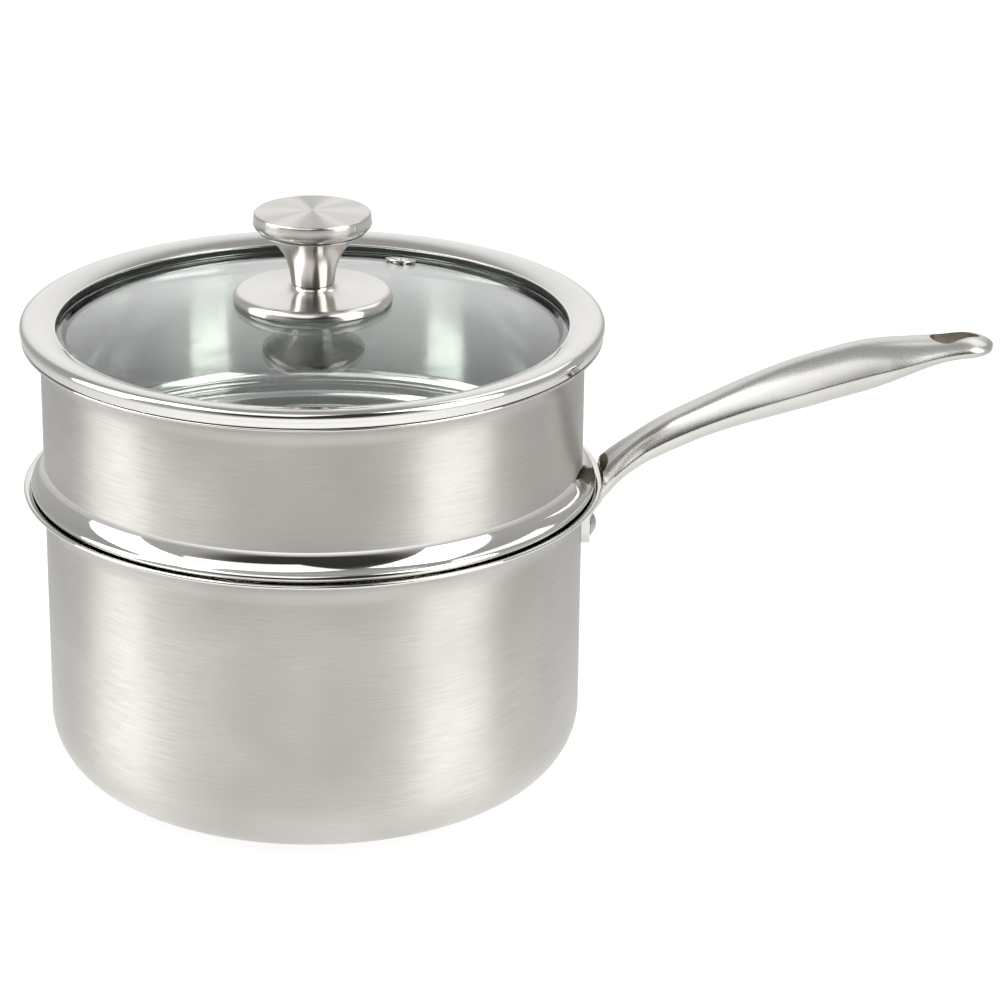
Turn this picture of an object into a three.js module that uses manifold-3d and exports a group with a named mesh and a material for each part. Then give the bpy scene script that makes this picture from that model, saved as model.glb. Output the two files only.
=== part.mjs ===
// Steamer pot: a saucepan with a riveted long handle, a perforated steamer insert that seats in the
// flared mouth of the pan, and a domed glass lid with a steel rim, a steam vent and a screwed knob.
// Millimetres, +Z up. The origin is the centre of the pan's base, and the handle points along +X.

import * as THREE from 'three';
import { mergeVertices } from 'three/addons/utils/BufferGeometryUtils.js';
import Module from 'manifold-3d';

const wasm = await Module();
wasm.setup();

// Clearances
const SEAT_GAP = 0.3;            // between pieces that touch
const SCREW_GAP = 0.3;           // round a shank in its hole

// Saucepan
const POT_BORE = 200;            // inside diameter, the nominal size of the pan
const POT_WALL = 2.3;            // clad sheet
const POT_HEIGHT = 115;          // base to the top of the lip
const POT_CORNER = 23.6;         // outside radius between base and wall
const LIP_REACH = 7.4;           // lip beyond the wall
const LIP_ANGLE = 75;            // lip's turn from the vertical, degrees

// Steamer insert
const INSERT_SHEET = 1.0;
const INSERT_RISE = 58.3;        // pan lip to insert lip
const INSERT_LIP_REACH = 5.6;
const SEAT_LOW_ANGLE = 41;       // the seat follows the pan's lip between these two angles, degrees
const SEAT_HIGH_ANGLE = 62;
const BEAD_RADIUS = 1.2;         // fold at the foot of the shoulder
const SHOULDER_TILT = 150;       // heading of the shoulder where it leaves the bead, degrees
const FLOOR_BEND = 3;            // bend between seat and floor
const PANEL_INSET = 9;           // sunk perforated panel, in from the edge of the floor
const PANEL_DROP = 1.4;
const HOLE_DIAMETER = 5;
const HOLE_RING_STEP = 15;       // between rings of holes
const HOLE_SPACING = 18.85;      // between holes in a ring
const HOLE_MARGIN = 8;           // panel edge to the outermost ring

// Lid
const GLASS_THICKNESS = 4;
const GLASS_INSET = 4.2;         // glass edge in from the insert's bore
const GLASS_RISE = 12.4;         // edge to crown
const GLASS_FLAT = 6;            // flat ring at the edge of the glass
const RIM_SHEET = 0.9;
const RIM_COVER = 2.2;           // rim over the glass
const RIM_OVERHANG = 0.9;        // rim beyond the insert's lip
const RIM_BEAD_WIDTH = 4.7;      // rolled outer edge
const RIM_BEAD_DROP = 3.9;       // widest point down to the lower edge
const RIM_SLOPE = 2.2;           // rise of the rim from the glass to the bead
const RIM_ROLL_START = 150;      // the roll runs between these two angles, degrees
const RIM_ROLL_END = -40;
const RIM_FOOT_INSET = 0.4;      // lower edge of the roll, in from its end
const SEAL_WIDTH = 1.0;          // silicone between glass edge and rim

// Vent
const VENT_RADIUS = 75.2;        // distance from the axis
const VENT_AZIMUTH = 62.7;       // degrees from the handle
const VENT_FLANGE = 6;           // radius of the visible ring
const VENT_TUBE = 3.6;
const VENT_BORE = 2;
const VENT_SHEET = 0.8;

// Knob
const KNOB_BASE_RADIUS = 30;
const KNOB_BASE_HEIGHT = 6.1;    // edge of the base plate to its neck
const KNOB_BASE_RIM = 3.6;       // height of the plate's rim
const KNOB_BASE_ROUND = 2.9;     // round of that rim
const KNOB_BASE_DISH = 0.3;      // plate below the top of its rim
const KNOB_BASE_FLARE = 18;      // radius where the neck starts to rise
const KNOB_NECK = 7.8;           // radius of the neck under the stem
const KNOB_STEM_FOOT = 8.2;
const KNOB_FOOT_ROUND = 1.3;     // round at the foot of the stem
const KNOB_STEM_HEIGHT = 19.6;   // foot to the flange under the cap
const KNOB_STEM_TOP = 19.2;      // radius where the stem meets that flange
const KNOB_STEM_TAPER = 84;      // climb of the stem's side at its foot, degrees
const KNOB_STEM_PULL = 7;        // length of the curve's pull there
const KNOB_FLARE_ANGLE = 32;     // climb of the side under the flange
const KNOB_FLARE_PULL = 10.7;    // length of the curve's pull there
const KNOB_FLANGE_EDGE = 0.8;
const KNOB_CAP_RADIUS = 22.2;
const KNOB_CAP_FOOT = 20;        // radius of the cap's lower edge
const KNOB_CAP_BOWL = 3.4;       // lower edge to the widest point
const KNOB_CAP_SKIRT = 5.8;      // lower edge to the top of the side
const KNOB_CAP_EDGE = 1;         // round between side and top
const KNOB_CAP_CROWN = 0.6;
const KNOB_CAP_SHEET = 1.2;
const KNOB_SPIGOT_HEIGHT = 4;    // stem inside the cap
const NUT_RADIUS = 4.5;
const NUT_LENGTH = 13;
const SCREW_RADIUS = 2.4;
const SCREW_HEAD_RADIUS = 5;
const SCREW_HEAD_HEIGHT = 3.2;
const SCREW_HEAD_ROUND = 1;
const SCREW_REACH = 11;          // screw inside the stem
const GASKET_THICKNESS = 1.0;
const GASKET_INNER = 12;
const GASKET_OUTER = 20;
const GROMMET_RADIUS = 9;        // silicone under the glass
const GROMMET_COLLAR = 1.2;      // its collar round the screw
const WASHER_RADIUS = 8;
const WASHER_THICKNESS = 1.2;

// Handle
const HANDLE_REACH = 155.8;      // wall to tip
const HANDLE_RISE = 51.3;        // pan lip to the middle of the tip
const ROOT_OUT = 0.4;            // edge of the lip to the middle of the handle where it passes the lip
const ROOT_RISE = -0.2;          // top of the lip to that point
const ROOT_ANGLE = 47;           // climb of the handle there, degrees
const STRAP_ANGLE = 72;          // climb of the fork where it leaves the pad, degrees
const STRAP_PULL = 7;            // length of the curve's pull under the lip
const ROOT_PULL = 32.6;          // length of the curve's pull at the lip
const TIP_PULL = 35.7;           // length of the curve's pull at the tip
const TIP_ANGLE = 0.5;
const ROOT_WIDTH = 26;
const ROOT_DEPTH = 9.6;
const NECK_WIDTH = 19.2;
const GRIP_WIDTH = 26;
const GRIP_DEPTH = 17.9;
const TAIL_WIDTH = 20;
const TAIL_DEPTH = 7.6;
const STRAP_DEPTH = 4.5;         // thickness of the fork where it leaves the pad
const LINK_DEPTH = 7.5;          // thickness of the fork under the lip
const STRAP_LAP = 1.5;           // fork down into the top of the pad
const CROWN_FULLNESS = 2.3;      // exponent of the section's upper half, 2 is an ellipse
const ROOT_KEEL = 1.8;           // exponent of its lower half at the lip
const DISH_DEPTH = 1.6;          // hollow along the top of the fork
const FORK_GAP = 15.6;           // between the two prongs
const FORK_LENGTH = 3.6;         // opening of the fork beyond the lip
const FORK_ROUND = 6.3;          // round corners of that opening
const SLOT_LENGTH = 19;          // hanging slot
const SLOT_WIDTH = 12;
const SLOT_TIP = 1.6;            // radius of its narrow end
const SLOT_MARGIN = 5.2;         // tip of the handle to the slot
const PAD_WIDTH = 24;            // mounting pad on the wall
const PAD_THICKNESS = 3;
const PAD_TOP_DROP = 12.5;       // pan lip to the top of the pad
const PAD_HEIGHT = 14;
const PAD_CORNER = 8;
const RIVET_DROP = 20.3;         // pan lip to the rivet
const RIVET_SHANK = 2.5;
const RIVET_HEAD = 5;
const RIVET_OUTER_CROWN = 2.4;
const RIVET_INNER_CROWN = 1.8;

// Facets
const ROUND_FACETS = 44;
const KNOB_FACETS = 24;
const SMALL_FACETS = 16;
const HOLE_FACETS = 8;
const SECTION_POINTS = 20;
const CURVE_STEPS = 5;           // per quarter turn of a cut outline

// Shape helpers

const at = (r, z) => new THREE.Vector2(r, z);
const radians = THREE.MathUtils.degToRad;
const heading = (angle) => at(Math.cos(radians(angle)), Math.sin(radians(angle)));

/** Points along a circular arc in the (radius, height) plane, angles in degrees. */
function arc(centre, radius, from, to, steps) {
  const points = [];
  for (let i = 0; i <= steps; i += 1) {
    const angle = radians(from + ((to - from) * i) / steps);
    points.push(at(centre.x + radius * Math.cos(angle), centre.y + radius * Math.sin(angle)));
  }
  return points;
}

/** Points of a quarter-like sweep from a to b that leaves a at the given angle, in degrees. */
function sweep(a, b, angle, steps) {
  const pull = a.clone().addScaledVector(heading(angle), a.distanceTo(b) / 2);
  return new THREE.QuadraticBezierCurve(a, pull, b).getPoints(steps);
}

/** Removes points that repeat the one before. */
function distinct(points) {
  return points.filter((p, i) => i === 0 || p.distanceTo(points[i - 1]) > 1e-6);
}

/** Closed outline of a sheet of even thickness whose middle follows the given path. */
function sheet(middle, thickness) {
  const path = distinct(middle);
  const left = [];
  const right = [];
  path.forEach((point, i) => {
    const before = point.clone().sub(path[Math.max(i - 1, 0)]).normalize();
    const after = path[Math.min(i + 1, path.length - 1)].clone().sub(point).normalize();
    const along = before.clone().add(after).normalize();
    const reference = before.lengthSq() > 0 ? before : after;
    const offset = thickness / 2 / along.dot(reference);
    const normal = at(-along.y, along.x).multiplyScalar(offset);
    left.push(point.clone().add(normal));
    right.push(point.clone().sub(normal));
  });
  return right.concat(left.reverse());
}

/** Solid of revolution about Z. The outline is closed, or starts and ends on the axis. */
function revolve(outline, facets) {
  const profile = outline.map((p) => p.clone());
  const onAxis = profile[0].x < 1e-9 && profile[profile.length - 1].x < 1e-9;
  if (THREE.ShapeUtils.area(profile) < 0) {
    profile.reverse();
  }
  if (!onAxis) {
    profile.push(profile[0].clone());
  }
  return new THREE.LatheGeometry(profile, facets).rotateX(Math.PI / 2);
}

/** Solid through rings of points that all have the same count, closed by a fan at each end. */
function loft(rings) {
  const count = rings[0].length;
  const points = rings.flat();
  const centreOf = (ring) => ring.reduce((sum, p) => sum.add(p), new THREE.Vector3()).divideScalar(count);
  points.push(centreOf(rings[0]), centreOf(rings[rings.length - 1]));
  const start = points.length - 2;
  const end = points.length - 1;
  const last = (rings.length - 1) * count;
  const index = [];
  for (let j = 0; j < count; j += 1) {
    const next = (j + 1) % count;
    for (let i = 0; i < last; i += count) {
      index.push(i + j, i + next, i + count + j);
      index.push(i + next, i + count + next, i + count + j);
    }
    index.push(start, next, j);
    index.push(end, last + j, last + next);
  }
  const geometry = new THREE.BufferGeometry().setFromPoints(points);
  geometry.setIndex(index);
  return geometry;
}

/** Outline extruded upward from a base height. */
function prism(shape, low, high, curveSegments) {
  const settings = { depth: high - low, bevelEnabled: false, curveSegments };
  return new THREE.ExtrudeGeometry(shape, settings).translate(0, 0, low);
}

function toSolid(geometry) {
  const bare = geometry.clone();
  bare.deleteAttribute('normal');
  bare.deleteAttribute('uv');
  const merged = mergeVertices(bare, 1e-4);
  const vertProperties = Float32Array.from(merged.attributes.position.array);
  const triVerts = Uint32Array.from(merged.index.array);
  return new wasm.Manifold(new wasm.Mesh({ numProp: 3, vertProperties, triVerts }));
}

function toGeometry(solid) {
  const mesh = solid.getMesh();
  const geometry = new THREE.BufferGeometry();
  geometry.setAttribute('position', new THREE.BufferAttribute(mesh.vertProperties, 3));
  geometry.setIndex(new THREE.BufferAttribute(mesh.triVerts, 1));
  geometry.computeVertexNormals();
  return geometry;
}

// Finishes

function finish(color, roughness, metalness) {
  return new THREE.MeshStandardMaterial({ color, roughness, metalness });
}

const brushedSteel = finish(0xc4c2be, 0.34, 1);
const polishedSteel = finish(0xd4d3d0, 0.12, 1);
const satinSteel = finish(0xc0bfbb, 0.3, 1);
const clearGlass = finish(0xdfe8e4, 0.03, 0);
const clearSilicone = finish(0xd9dad6, 0.55, 0);
const brass = finish(0xb9975a, 0.35, 1);

/** One named piece of the assembly. */
function piece(name, geometry, material) {
  const mesh = new THREE.Mesh(geometry, material);
  mesh.name = name;
  return mesh;
}

// Saucepan body: a drawn dish with a flared pouring lip

const potRadius = POT_BORE / 2 + POT_WALL;
const potMiddle = POT_BORE / 2 + POT_WALL / 2;
const lipTurn = radians(LIP_ANGLE);
const lipBend = LIP_REACH / (1 - Math.cos(lipTurn)) + POT_WALL / 2;
const lipStart = POT_HEIGHT - (POT_WALL / 2) * Math.sin(lipTurn) - lipBend * Math.sin(lipTurn);
const lipCentre = at(potMiddle + lipBend, lipStart);
const lipRadius = potRadius + LIP_REACH;
const rivetHeight = POT_HEIGHT - RIVET_DROP;

function saucepanPath() {
  const bend = POT_CORNER - POT_WALL / 2;
  const corner = at(potMiddle - bend, POT_WALL / 2 + bend);
  return [
    at(0, POT_WALL / 2),
    ...arc(corner, bend, -90, 0, 5),
    ...arc(lipCentre, lipBend, 180, 180 - LIP_ANGLE, 4),
  ];
}

/** Round bar along X at the rivet, from one distance to another. */
function rivetBar(radius, from, to) {
  const bar = new THREE.CylinderGeometry(radius, radius, to - from, SMALL_FACETS);
  return bar.rotateZ(-Math.PI / 2).translate((from + to) / 2, 0, rivetHeight);
}

const rivetHole = toSolid(rivetBar(RIVET_SHANK + SCREW_GAP, POT_BORE / 4, lipRadius));
const saucepanShell = toSolid(revolve(sheet(saucepanPath(), POT_WALL), ROUND_FACETS));
const saucepanBody = toGeometry(saucepanShell.subtract(rivetHole));

// Handle: one casting with a mounting pad, a fork under the lip, a grip and a tail with a slot

const padFace = potRadius + SEAT_GAP;
const padOuter = padFace + PAD_THICKNESS;
const padTop = POT_HEIGHT - PAD_TOP_DROP;

function handleCurve() {
  const foot = at(padFace + PAD_THICKNESS / 2, padTop - STRAP_LAP);
  const root = at(lipRadius + ROOT_OUT, POT_HEIGHT + ROOT_RISE);
  const tip = at(potRadius + HANDLE_REACH, POT_HEIGHT + HANDLE_RISE);
  const pulled = (point, angle, length) => point.clone().addScaledVector(heading(angle), length);
  const curve = new THREE.CurvePath();
  curve.add(new THREE.CubicBezierCurve(
    foot,
    pulled(foot, STRAP_ANGLE, STRAP_PULL),
    pulled(root, ROOT_ANGLE, -STRAP_PULL),
    root,
  ));
  curve.add(new THREE.CubicBezierCurve(
    root,
    pulled(root, ROOT_ANGLE, ROOT_PULL),
    pulled(tip, TIP_ANGLE, -TIP_PULL),
    tip,
  ));
  return curve;
}

/** Value that glides through the sizes given at shares of the handle's length. */
function glide(stations, share) {
  const next = Math.max(1, stations.findIndex(([place]) => place >= share));
  const [fromPlace, fromSize] = stations[next - 1];
  const [toPlace, toSize] = stations[next];
  return fromSize + (toSize - fromSize) * THREE.MathUtils.smoothstep(share, fromPlace, toPlace);
}

/** One cross-section: a full crown above, a keel below that is sharper at the fork. */
function handleSection(width, depth, dish, keel) {
  const section = [];
  for (let i = 0; i < SECTION_POINTS; i += 1) {
    const angle = (2 * Math.PI * i) / SECTION_POINTS;
    const across = Math.cos(angle);
    const up = Math.sin(angle);
    const power = 2 / (up >= 0 ? CROWN_FULLNESS : keel);
    const side = (width / 2) * Math.sign(across) * Math.abs(across) ** power;
    const crown = (depth / 2) * Math.sign(up) * Math.abs(up) ** power;
    section.push(at(side, crown - dish * Math.max(0, up) ** 6));
  }
  return section;
}

function handleRings() {
  const curve = handleCurve();
  const [strap, length] = curve.getCurveLengths();
  const fork = strap / length;
  const widths = [[0, PAD_WIDTH], [fork, ROOT_WIDTH], [fork + 0.12, NECK_WIDTH], [0.62, GRIP_WIDTH],
    [0.76, GRIP_WIDTH], [0.92, TAIL_WIDTH], [1, TAIL_WIDTH]];
  const depths = [[0, STRAP_DEPTH], [fork / 2, LINK_DEPTH], [fork, ROOT_DEPTH], [0.6, GRIP_DEPTH],
    [0.69, GRIP_DEPTH], [0.92, TAIL_DEPTH], [1, TAIL_DEPTH]];
  const dishes = [[0, 0], [fork / 2, DISH_DEPTH / 2], [fork, DISH_DEPTH], [0.42, 0], [1, 0]];
  const keels = [[0, 2], [fork, ROOT_KEEL], [0.4, 2], [1, 2]];
  const round = TAIL_WIDTH / 2 / length;
  const shares = [0, 0.03, 0.06, 0.09, 0.12, 0.15, 0.19, 0.24, 0.3, 0.37, 0.44, 0.51, 0.58, 0.65, 0.71,
    0.76, 0.8, 0.84, 0.88, 0.92, ...[1, 0.7, 0.4, 0.15, 0.02].map((left) => 1 - left * round)];
  return shares.map((share) => {
    const place = curve.getPointAt(share);
    const along = curve.getTangentAt(share);
    const nose = Math.max(0, 1 - (1 - share) / round);
    const taper = Math.sqrt(1 - nose * nose);
    const section = handleSection(
      glide(widths, share) * taper,
      glide(depths, share) * (0.35 + 0.65 * taper),
      glide(dishes, share),
      glide(keels, share),
    );
    return section.map((p) => new THREE.Vector3(place.x - along.y * p.y, p.x, place.y + along.x * p.y));
  });
}

/** Flat pad on the wall, bent to its curve, with a round lower edge. */
function mountingPad() {
  const half = PAD_WIDTH / 2;
  const low = padTop - PAD_HEIGHT;
  const inside = POT_BORE / 2;
  const ring = [
    at(inside, low - PAD_CORNER),
    at(padOuter, low - PAD_CORNER),
    at(padOuter, padTop + PAD_CORNER),
    at(inside, padTop + PAD_CORNER),
  ];
  const outline = new THREE.Shape();
  outline.moveTo(half, padTop);
  outline.lineTo(-half, padTop);
  outline.lineTo(-half, low + PAD_CORNER);
  outline.absarc(-half + PAD_CORNER, low + PAD_CORNER, PAD_CORNER, Math.PI, 1.5 * Math.PI);
  outline.absarc(half - PAD_CORNER, low + PAD_CORNER, PAD_CORNER, 1.5 * Math.PI, 2 * Math.PI);
  outline.closePath();
  const cutter = prism(outline, 0, lipRadius, CURVE_STEPS).rotateX(Math.PI / 2).rotateZ(Math.PI / 2);
  return toSolid(revolve(ring, ROUND_FACETS)).intersect(toSolid(cutter));
}

/** Everything inside the pan's outer face, kept clear of the handle. */
function panEnvelope() {
  const outside = sheet(saucepanPath(), POT_WALL + 2 * SEAT_GAP);
  const wall = outside.slice(0, outside.length / 2);
  const ceiling = POT_HEIGHT + HANDLE_RISE + GRIP_DEPTH;
  const rim = wall[wall.length - 1].x;
  return toSolid(revolve([...wall, at(rim, ceiling), at(0, ceiling)], ROUND_FACETS));
}

/** Opening between the prongs: a D that is flat at the pan and round towards the grip. */
function forkOpening() {
  const end = lipRadius + FORK_LENGTH;
  const half = FORK_GAP / 2;
  const outline = new THREE.Shape();
  outline.moveTo(potRadius, -half);
  outline.lineTo(end - FORK_ROUND, -half);
  outline.absarc(end - FORK_ROUND, -half + FORK_ROUND, FORK_ROUND, -Math.PI / 2, 0);
  outline.absarc(end - FORK_ROUND, half - FORK_ROUND, FORK_ROUND, 0, Math.PI / 2);
  outline.lineTo(potRadius, half);
  outline.closePath();
  return toSolid(prism(outline, padTop - STRAP_LAP / 2, POT_HEIGHT + HANDLE_RISE, CURVE_STEPS));
}

/** Hanging slot: a drop shape that narrows towards the tip. */
function hangingSlot() {
  const tip = potRadius + HANDLE_REACH - SLOT_MARGIN;
  const wide = at(tip - SLOT_LENGTH + SLOT_WIDTH / 2, 0);
  const narrow = at(tip - SLOT_TIP, 0);
  const lean = Math.acos((SLOT_WIDTH / 2 - SLOT_TIP) / wide.distanceTo(narrow));
  const outline = new THREE.Shape();
  outline.absarc(wide.x, wide.y, SLOT_WIDTH / 2, lean, 2 * Math.PI - lean);
  outline.absarc(narrow.x, narrow.y, SLOT_TIP, -lean, lean);
  outline.closePath();
  return toSolid(prism(outline, POT_HEIGHT, POT_HEIGHT + HANDLE_RISE + GRIP_DEPTH, 2 * CURVE_STEPS));
}

const handleBody = toSolid(loft(handleRings()))
  .subtract(forkOpening())
  .add(mountingPad())
  .subtract(panEnvelope())
  .subtract(hangingSlot())
  .subtract(rivetHole);

/** Rivet along X: a domed head outside, a flatter one inside. */
function rivet() {
  const innerSag = RIVET_HEAD * Math.tan(Math.PI / ROUND_FACETS);
  const innerFace = POT_BORE / 2 - SEAT_GAP - innerSag;
  const outerFace = padOuter + SEAT_GAP;
  const crown = (height) => {
    const bend = (RIVET_HEAD * RIVET_HEAD + height * height) / (2 * height);
    const half = THREE.MathUtils.radToDeg(Math.asin(RIVET_HEAD / bend));
    return arc(at(0, height - bend), bend, 90, 90 - half, 3);
  };
  const outer = crown(RIVET_OUTER_CROWN).map((p) => at(p.x, outerFace + p.y));
  const inner = crown(RIVET_INNER_CROWN).map((p) => at(p.x, innerFace - p.y)).reverse();
  const shank = [at(RIVET_SHANK, outerFace), at(RIVET_SHANK, innerFace)];
  const upright = revolve([...outer, ...shank, ...inner], SMALL_FACETS);
  return upright.rotateY(Math.PI / 2).translate(0, 0, rivetHeight);
}

// Steamer insert: wall flush with the pan's, a shoulder that folds back into the pan's flared mouth

const insertMiddle = potRadius - INSERT_SHEET / 2;
const insertBore = potRadius - INSERT_SHEET;
const insertTop = POT_HEIGHT + INSERT_RISE;
const insertLipBend = INSERT_LIP_REACH / (1 - Math.cos(lipTurn)) + INSERT_SHEET / 2;
const insertLipRadius = potRadius + INSERT_LIP_REACH;
const seatBend = lipBend + POT_WALL / 2 + SEAT_GAP + INSERT_SHEET / 2;
const seatFoot = arc(lipCentre, seatBend, 180 - SEAT_LOW_ANGLE, 180 - SEAT_LOW_ANGLE, 1)[0];
const floorBendTurn = 90 - SEAT_LOW_ANGLE;
const floorBendCentre = at(
  seatFoot.x - FLOOR_BEND * Math.cos(radians(SEAT_LOW_ANGLE)),
  seatFoot.y + FLOOR_BEND * Math.sin(radians(SEAT_LOW_ANGLE)),
);
const floorHeight = floorBendCentre.y - FLOOR_BEND;
const panelRadius = floorBendCentre.x - PANEL_INSET;

function insertPath() {
  const seatTop = arc(lipCentre, seatBend, 180 - SEAT_HIGH_ANGLE, 180 - SEAT_HIGH_ANGLE, 1)[0];
  const beadCentre = seatTop.clone().add(
    at(-Math.cos(radians(SEAT_HIGH_ANGLE)), Math.sin(radians(SEAT_HIGH_ANGLE))).multiplyScalar(BEAD_RADIUS),
  );
  const bead = arc(beadCentre, BEAD_RADIUS, -SEAT_HIGH_ANGLE, SHOULDER_TILT - 90, 3);
  const shoulderFoot = bead[bead.length - 1];
  const cove = (shoulderFoot.x - insertMiddle) / (1 - Math.sin(radians(SHOULDER_TILT)));
  const coveCentre = at(insertMiddle + cove, shoulderFoot.y - cove * Math.cos(radians(SHOULDER_TILT)));
  const lipFoot = insertTop - (insertLipBend + INSERT_SHEET / 2) * Math.sin(lipTurn);
  return [
    at(0, floorHeight - PANEL_DROP),
    at(panelRadius, floorHeight - PANEL_DROP),
    at(panelRadius + PANEL_DROP, floorHeight),
    ...arc(floorBendCentre, FLOOR_BEND, -90, -90 + floorBendTurn, 2),
    ...arc(lipCentre, seatBend, 180 - SEAT_LOW_ANGLE, 180 - SEAT_HIGH_ANGLE, 2),
    ...bead,
    ...arc(coveCentre, cove, SHOULDER_TILT + 90, 180, 3),
    ...arc(at(insertMiddle + insertLipBend, lipFoot), insertLipBend, 180, 180 - LIP_ANGLE, 3),
  ];
}

/** Rings of round holes through the panel, and one in the middle. */
function panelHoles() {
  const holes = [at(0, 0)];
  const rings = Math.floor((panelRadius - HOLE_MARGIN) / HOLE_RING_STEP);
  for (let ring = 1; ring <= rings; ring += 1) {
    const radius = ring * HOLE_RING_STEP;
    const count = Math.round((2 * Math.PI * radius) / HOLE_SPACING);
    for (let i = 0; i < count; i += 1) {
      const angle = Math.PI / 2 + (2 * Math.PI * (i + 0.5)) / count;
      holes.push(at(radius * Math.cos(angle), radius * Math.sin(angle)));
    }
  }
  const depth = 3 * INSERT_SHEET;
  const pins = holes.map((hole) => {
    const pin = new THREE.CylinderGeometry(HOLE_DIAMETER / 2, HOLE_DIAMETER / 2, depth, HOLE_FACETS);
    return toSolid(pin.rotateX(Math.PI / 2).translate(hole.x, hole.y, floorHeight - PANEL_DROP));
  });
  return wasm.Manifold.union(pins);
}

const insertShell = toSolid(revolve(sheet(insertPath(), INSERT_SHEET), ROUND_FACETS));
const steamerInsert = toGeometry(insertShell.subtract(panelHoles()));

// Lid: domed glass held in a steel rim, with a silicone seal between them

const glassRadius = insertBore - GLASS_INSET;
const rimLow = insertTop + SEAT_GAP;
const rimWide = rimLow + RIM_BEAD_DROP;
const rimRadius = insertLipRadius + RIM_OVERHANG;
const rimCrease = rimRadius - RIM_BEAD_WIDTH;
const rimTop = rimWide - RIM_SLOPE + RIM_SHEET / 2;
const glassTop = rimTop - RIM_SHEET - SEAT_GAP;
const domeFoot = glassRadius - GLASS_FLAT;
const domeBend = (domeFoot * domeFoot + GLASS_RISE * GLASS_RISE) / (2 * GLASS_RISE);
const domeCentre = glassTop + GLASS_RISE - domeBend;
const domeHeight = (radius) => domeCentre + Math.sqrt(domeBend * domeBend - radius * radius);
const crown = domeHeight(0);
const glassHole = SCREW_RADIUS + GROMMET_COLLAR + 2 * SCREW_GAP;

/** Points of the dome from one radius to another, lowered by an offset. */
function domeLine(from, to, lower, steps) {
  const points = [];
  for (let i = 0; i <= steps; i += 1) {
    const radius = from + ((to - from) * i) / steps;
    points.push(at(radius, domeHeight(radius) - lower));
  }
  return points;
}

const ventTilt = Math.asin(VENT_RADIUS / domeBend);

/** Moves a shape that is upright at the origin onto the dome, at the vent. */
function atVent(geometry) {
  const place = at(VENT_RADIUS, domeHeight(VENT_RADIUS));
  return geometry.rotateY(ventTilt).translate(place.x, 0, place.y).rotateZ(radians(VENT_AZIMUTH));
}

function lidGlass() {
  const outline = [
    ...domeLine(glassHole, domeFoot, 0, 5),
    at(glassRadius, glassTop),
    at(glassRadius, glassTop - GLASS_THICKNESS),
    ...domeLine(domeFoot, glassHole, GLASS_THICKNESS, 5),
  ];
  const drill = new THREE.CylinderGeometry(
    VENT_TUBE + SEAT_GAP,
    VENT_TUBE + SEAT_GAP,
    4 * GLASS_THICKNESS,
    SMALL_FACETS,
  );
  const hole = atVent(drill.rotateX(Math.PI / 2));
  return toGeometry(toSolid(revolve(outline, ROUND_FACETS)).subtract(toSolid(hole)));
}

const channel = glassRadius + SEAL_WIDTH + 2 * SEAT_GAP;
const channelLow = glassTop - GLASS_THICKNESS - SEAT_GAP - RIM_SHEET;

/** Rim: a channel round the glass edge, a sloping top and a rolled outer edge. */
function lidRim() {
  const inner = glassRadius - RIM_COVER;
  const bead = at(rimRadius - RIM_BEAD_WIDTH / 2, rimWide);
  const roll = RIM_BEAD_WIDTH / 2;
  const outside = arc(bead, roll, RIM_ROLL_START, RIM_ROLL_END, 4);
  const inside = arc(bead, roll - RIM_SHEET, RIM_ROLL_END, RIM_ROLL_START, 3);
  const foot = at(bead.x + roll * Math.cos(radians(RIM_ROLL_END)) - RIM_FOOT_INSET, rimLow);
  return revolve([
    at(inner, rimTop - RIM_SHEET),
    at(inner, rimTop),
    ...outside,
    foot,
    at(foot.x - RIM_SHEET, rimLow),
    ...inside,
    at(channel + RIM_SHEET, rimTop - RIM_SHEET),
    at(channel + RIM_SHEET, channelLow),
    at(inner, channelLow),
    at(inner, channelLow + RIM_SHEET),
    at(channel, channelLow + RIM_SHEET),
    at(channel, rimTop - RIM_SHEET),
  ], ROUND_FACETS);
}

function lidSeal() {
  const inside = glassRadius + SEAT_GAP;
  const low = channelLow + RIM_SHEET + SEAT_GAP;
  const high = rimTop - RIM_SHEET - SEAT_GAP;
  return revolve([
    at(inside, low),
    at(inside + SEAL_WIDTH, low),
    at(inside + SEAL_WIDTH, high),
    at(inside, high),
  ], ROUND_FACETS);
}

/** Vent: an eyelet rolled over both faces of the glass. */
function ventGrommet() {
  const over = SEAT_GAP;
  const under = -GLASS_THICKNESS - SEAT_GAP;
  const round = VENT_SHEET / 2;
  return atVent(revolve([
    at(VENT_TUBE, over),
    at(VENT_FLANGE, over),
    ...arc(at(VENT_FLANGE - round, over + round), round, 0, 90, 2),
    at(VENT_BORE + round, over + VENT_SHEET),
    at(VENT_BORE, over + round),
    at(VENT_BORE, under - VENT_SHEET),
    at(VENT_FLANGE - VENT_SHEET, under - VENT_SHEET),
    at(VENT_FLANGE - VENT_SHEET, under),
    at(VENT_TUBE, under),
  ], SMALL_FACETS));
}

// Knob: cap on a stem, on a base plate, screwed through the glass from below

const screwBore = SCREW_RADIUS + SCREW_GAP;
const plateEdge = domeHeight(KNOB_BASE_RADIUS) + SEAT_GAP;
const neckHeight = plateEdge + KNOB_BASE_HEIGHT;
const stemFoot = neckHeight + SEAT_GAP;
const stemFlange = stemFoot + KNOB_STEM_HEIGHT;
const capFoot = stemFlange + KNOB_FLANGE_EDGE + SEAT_GAP;
const spigotRadius = KNOB_CAP_FOOT - KNOB_CAP_SHEET - SEAT_GAP;

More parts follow.
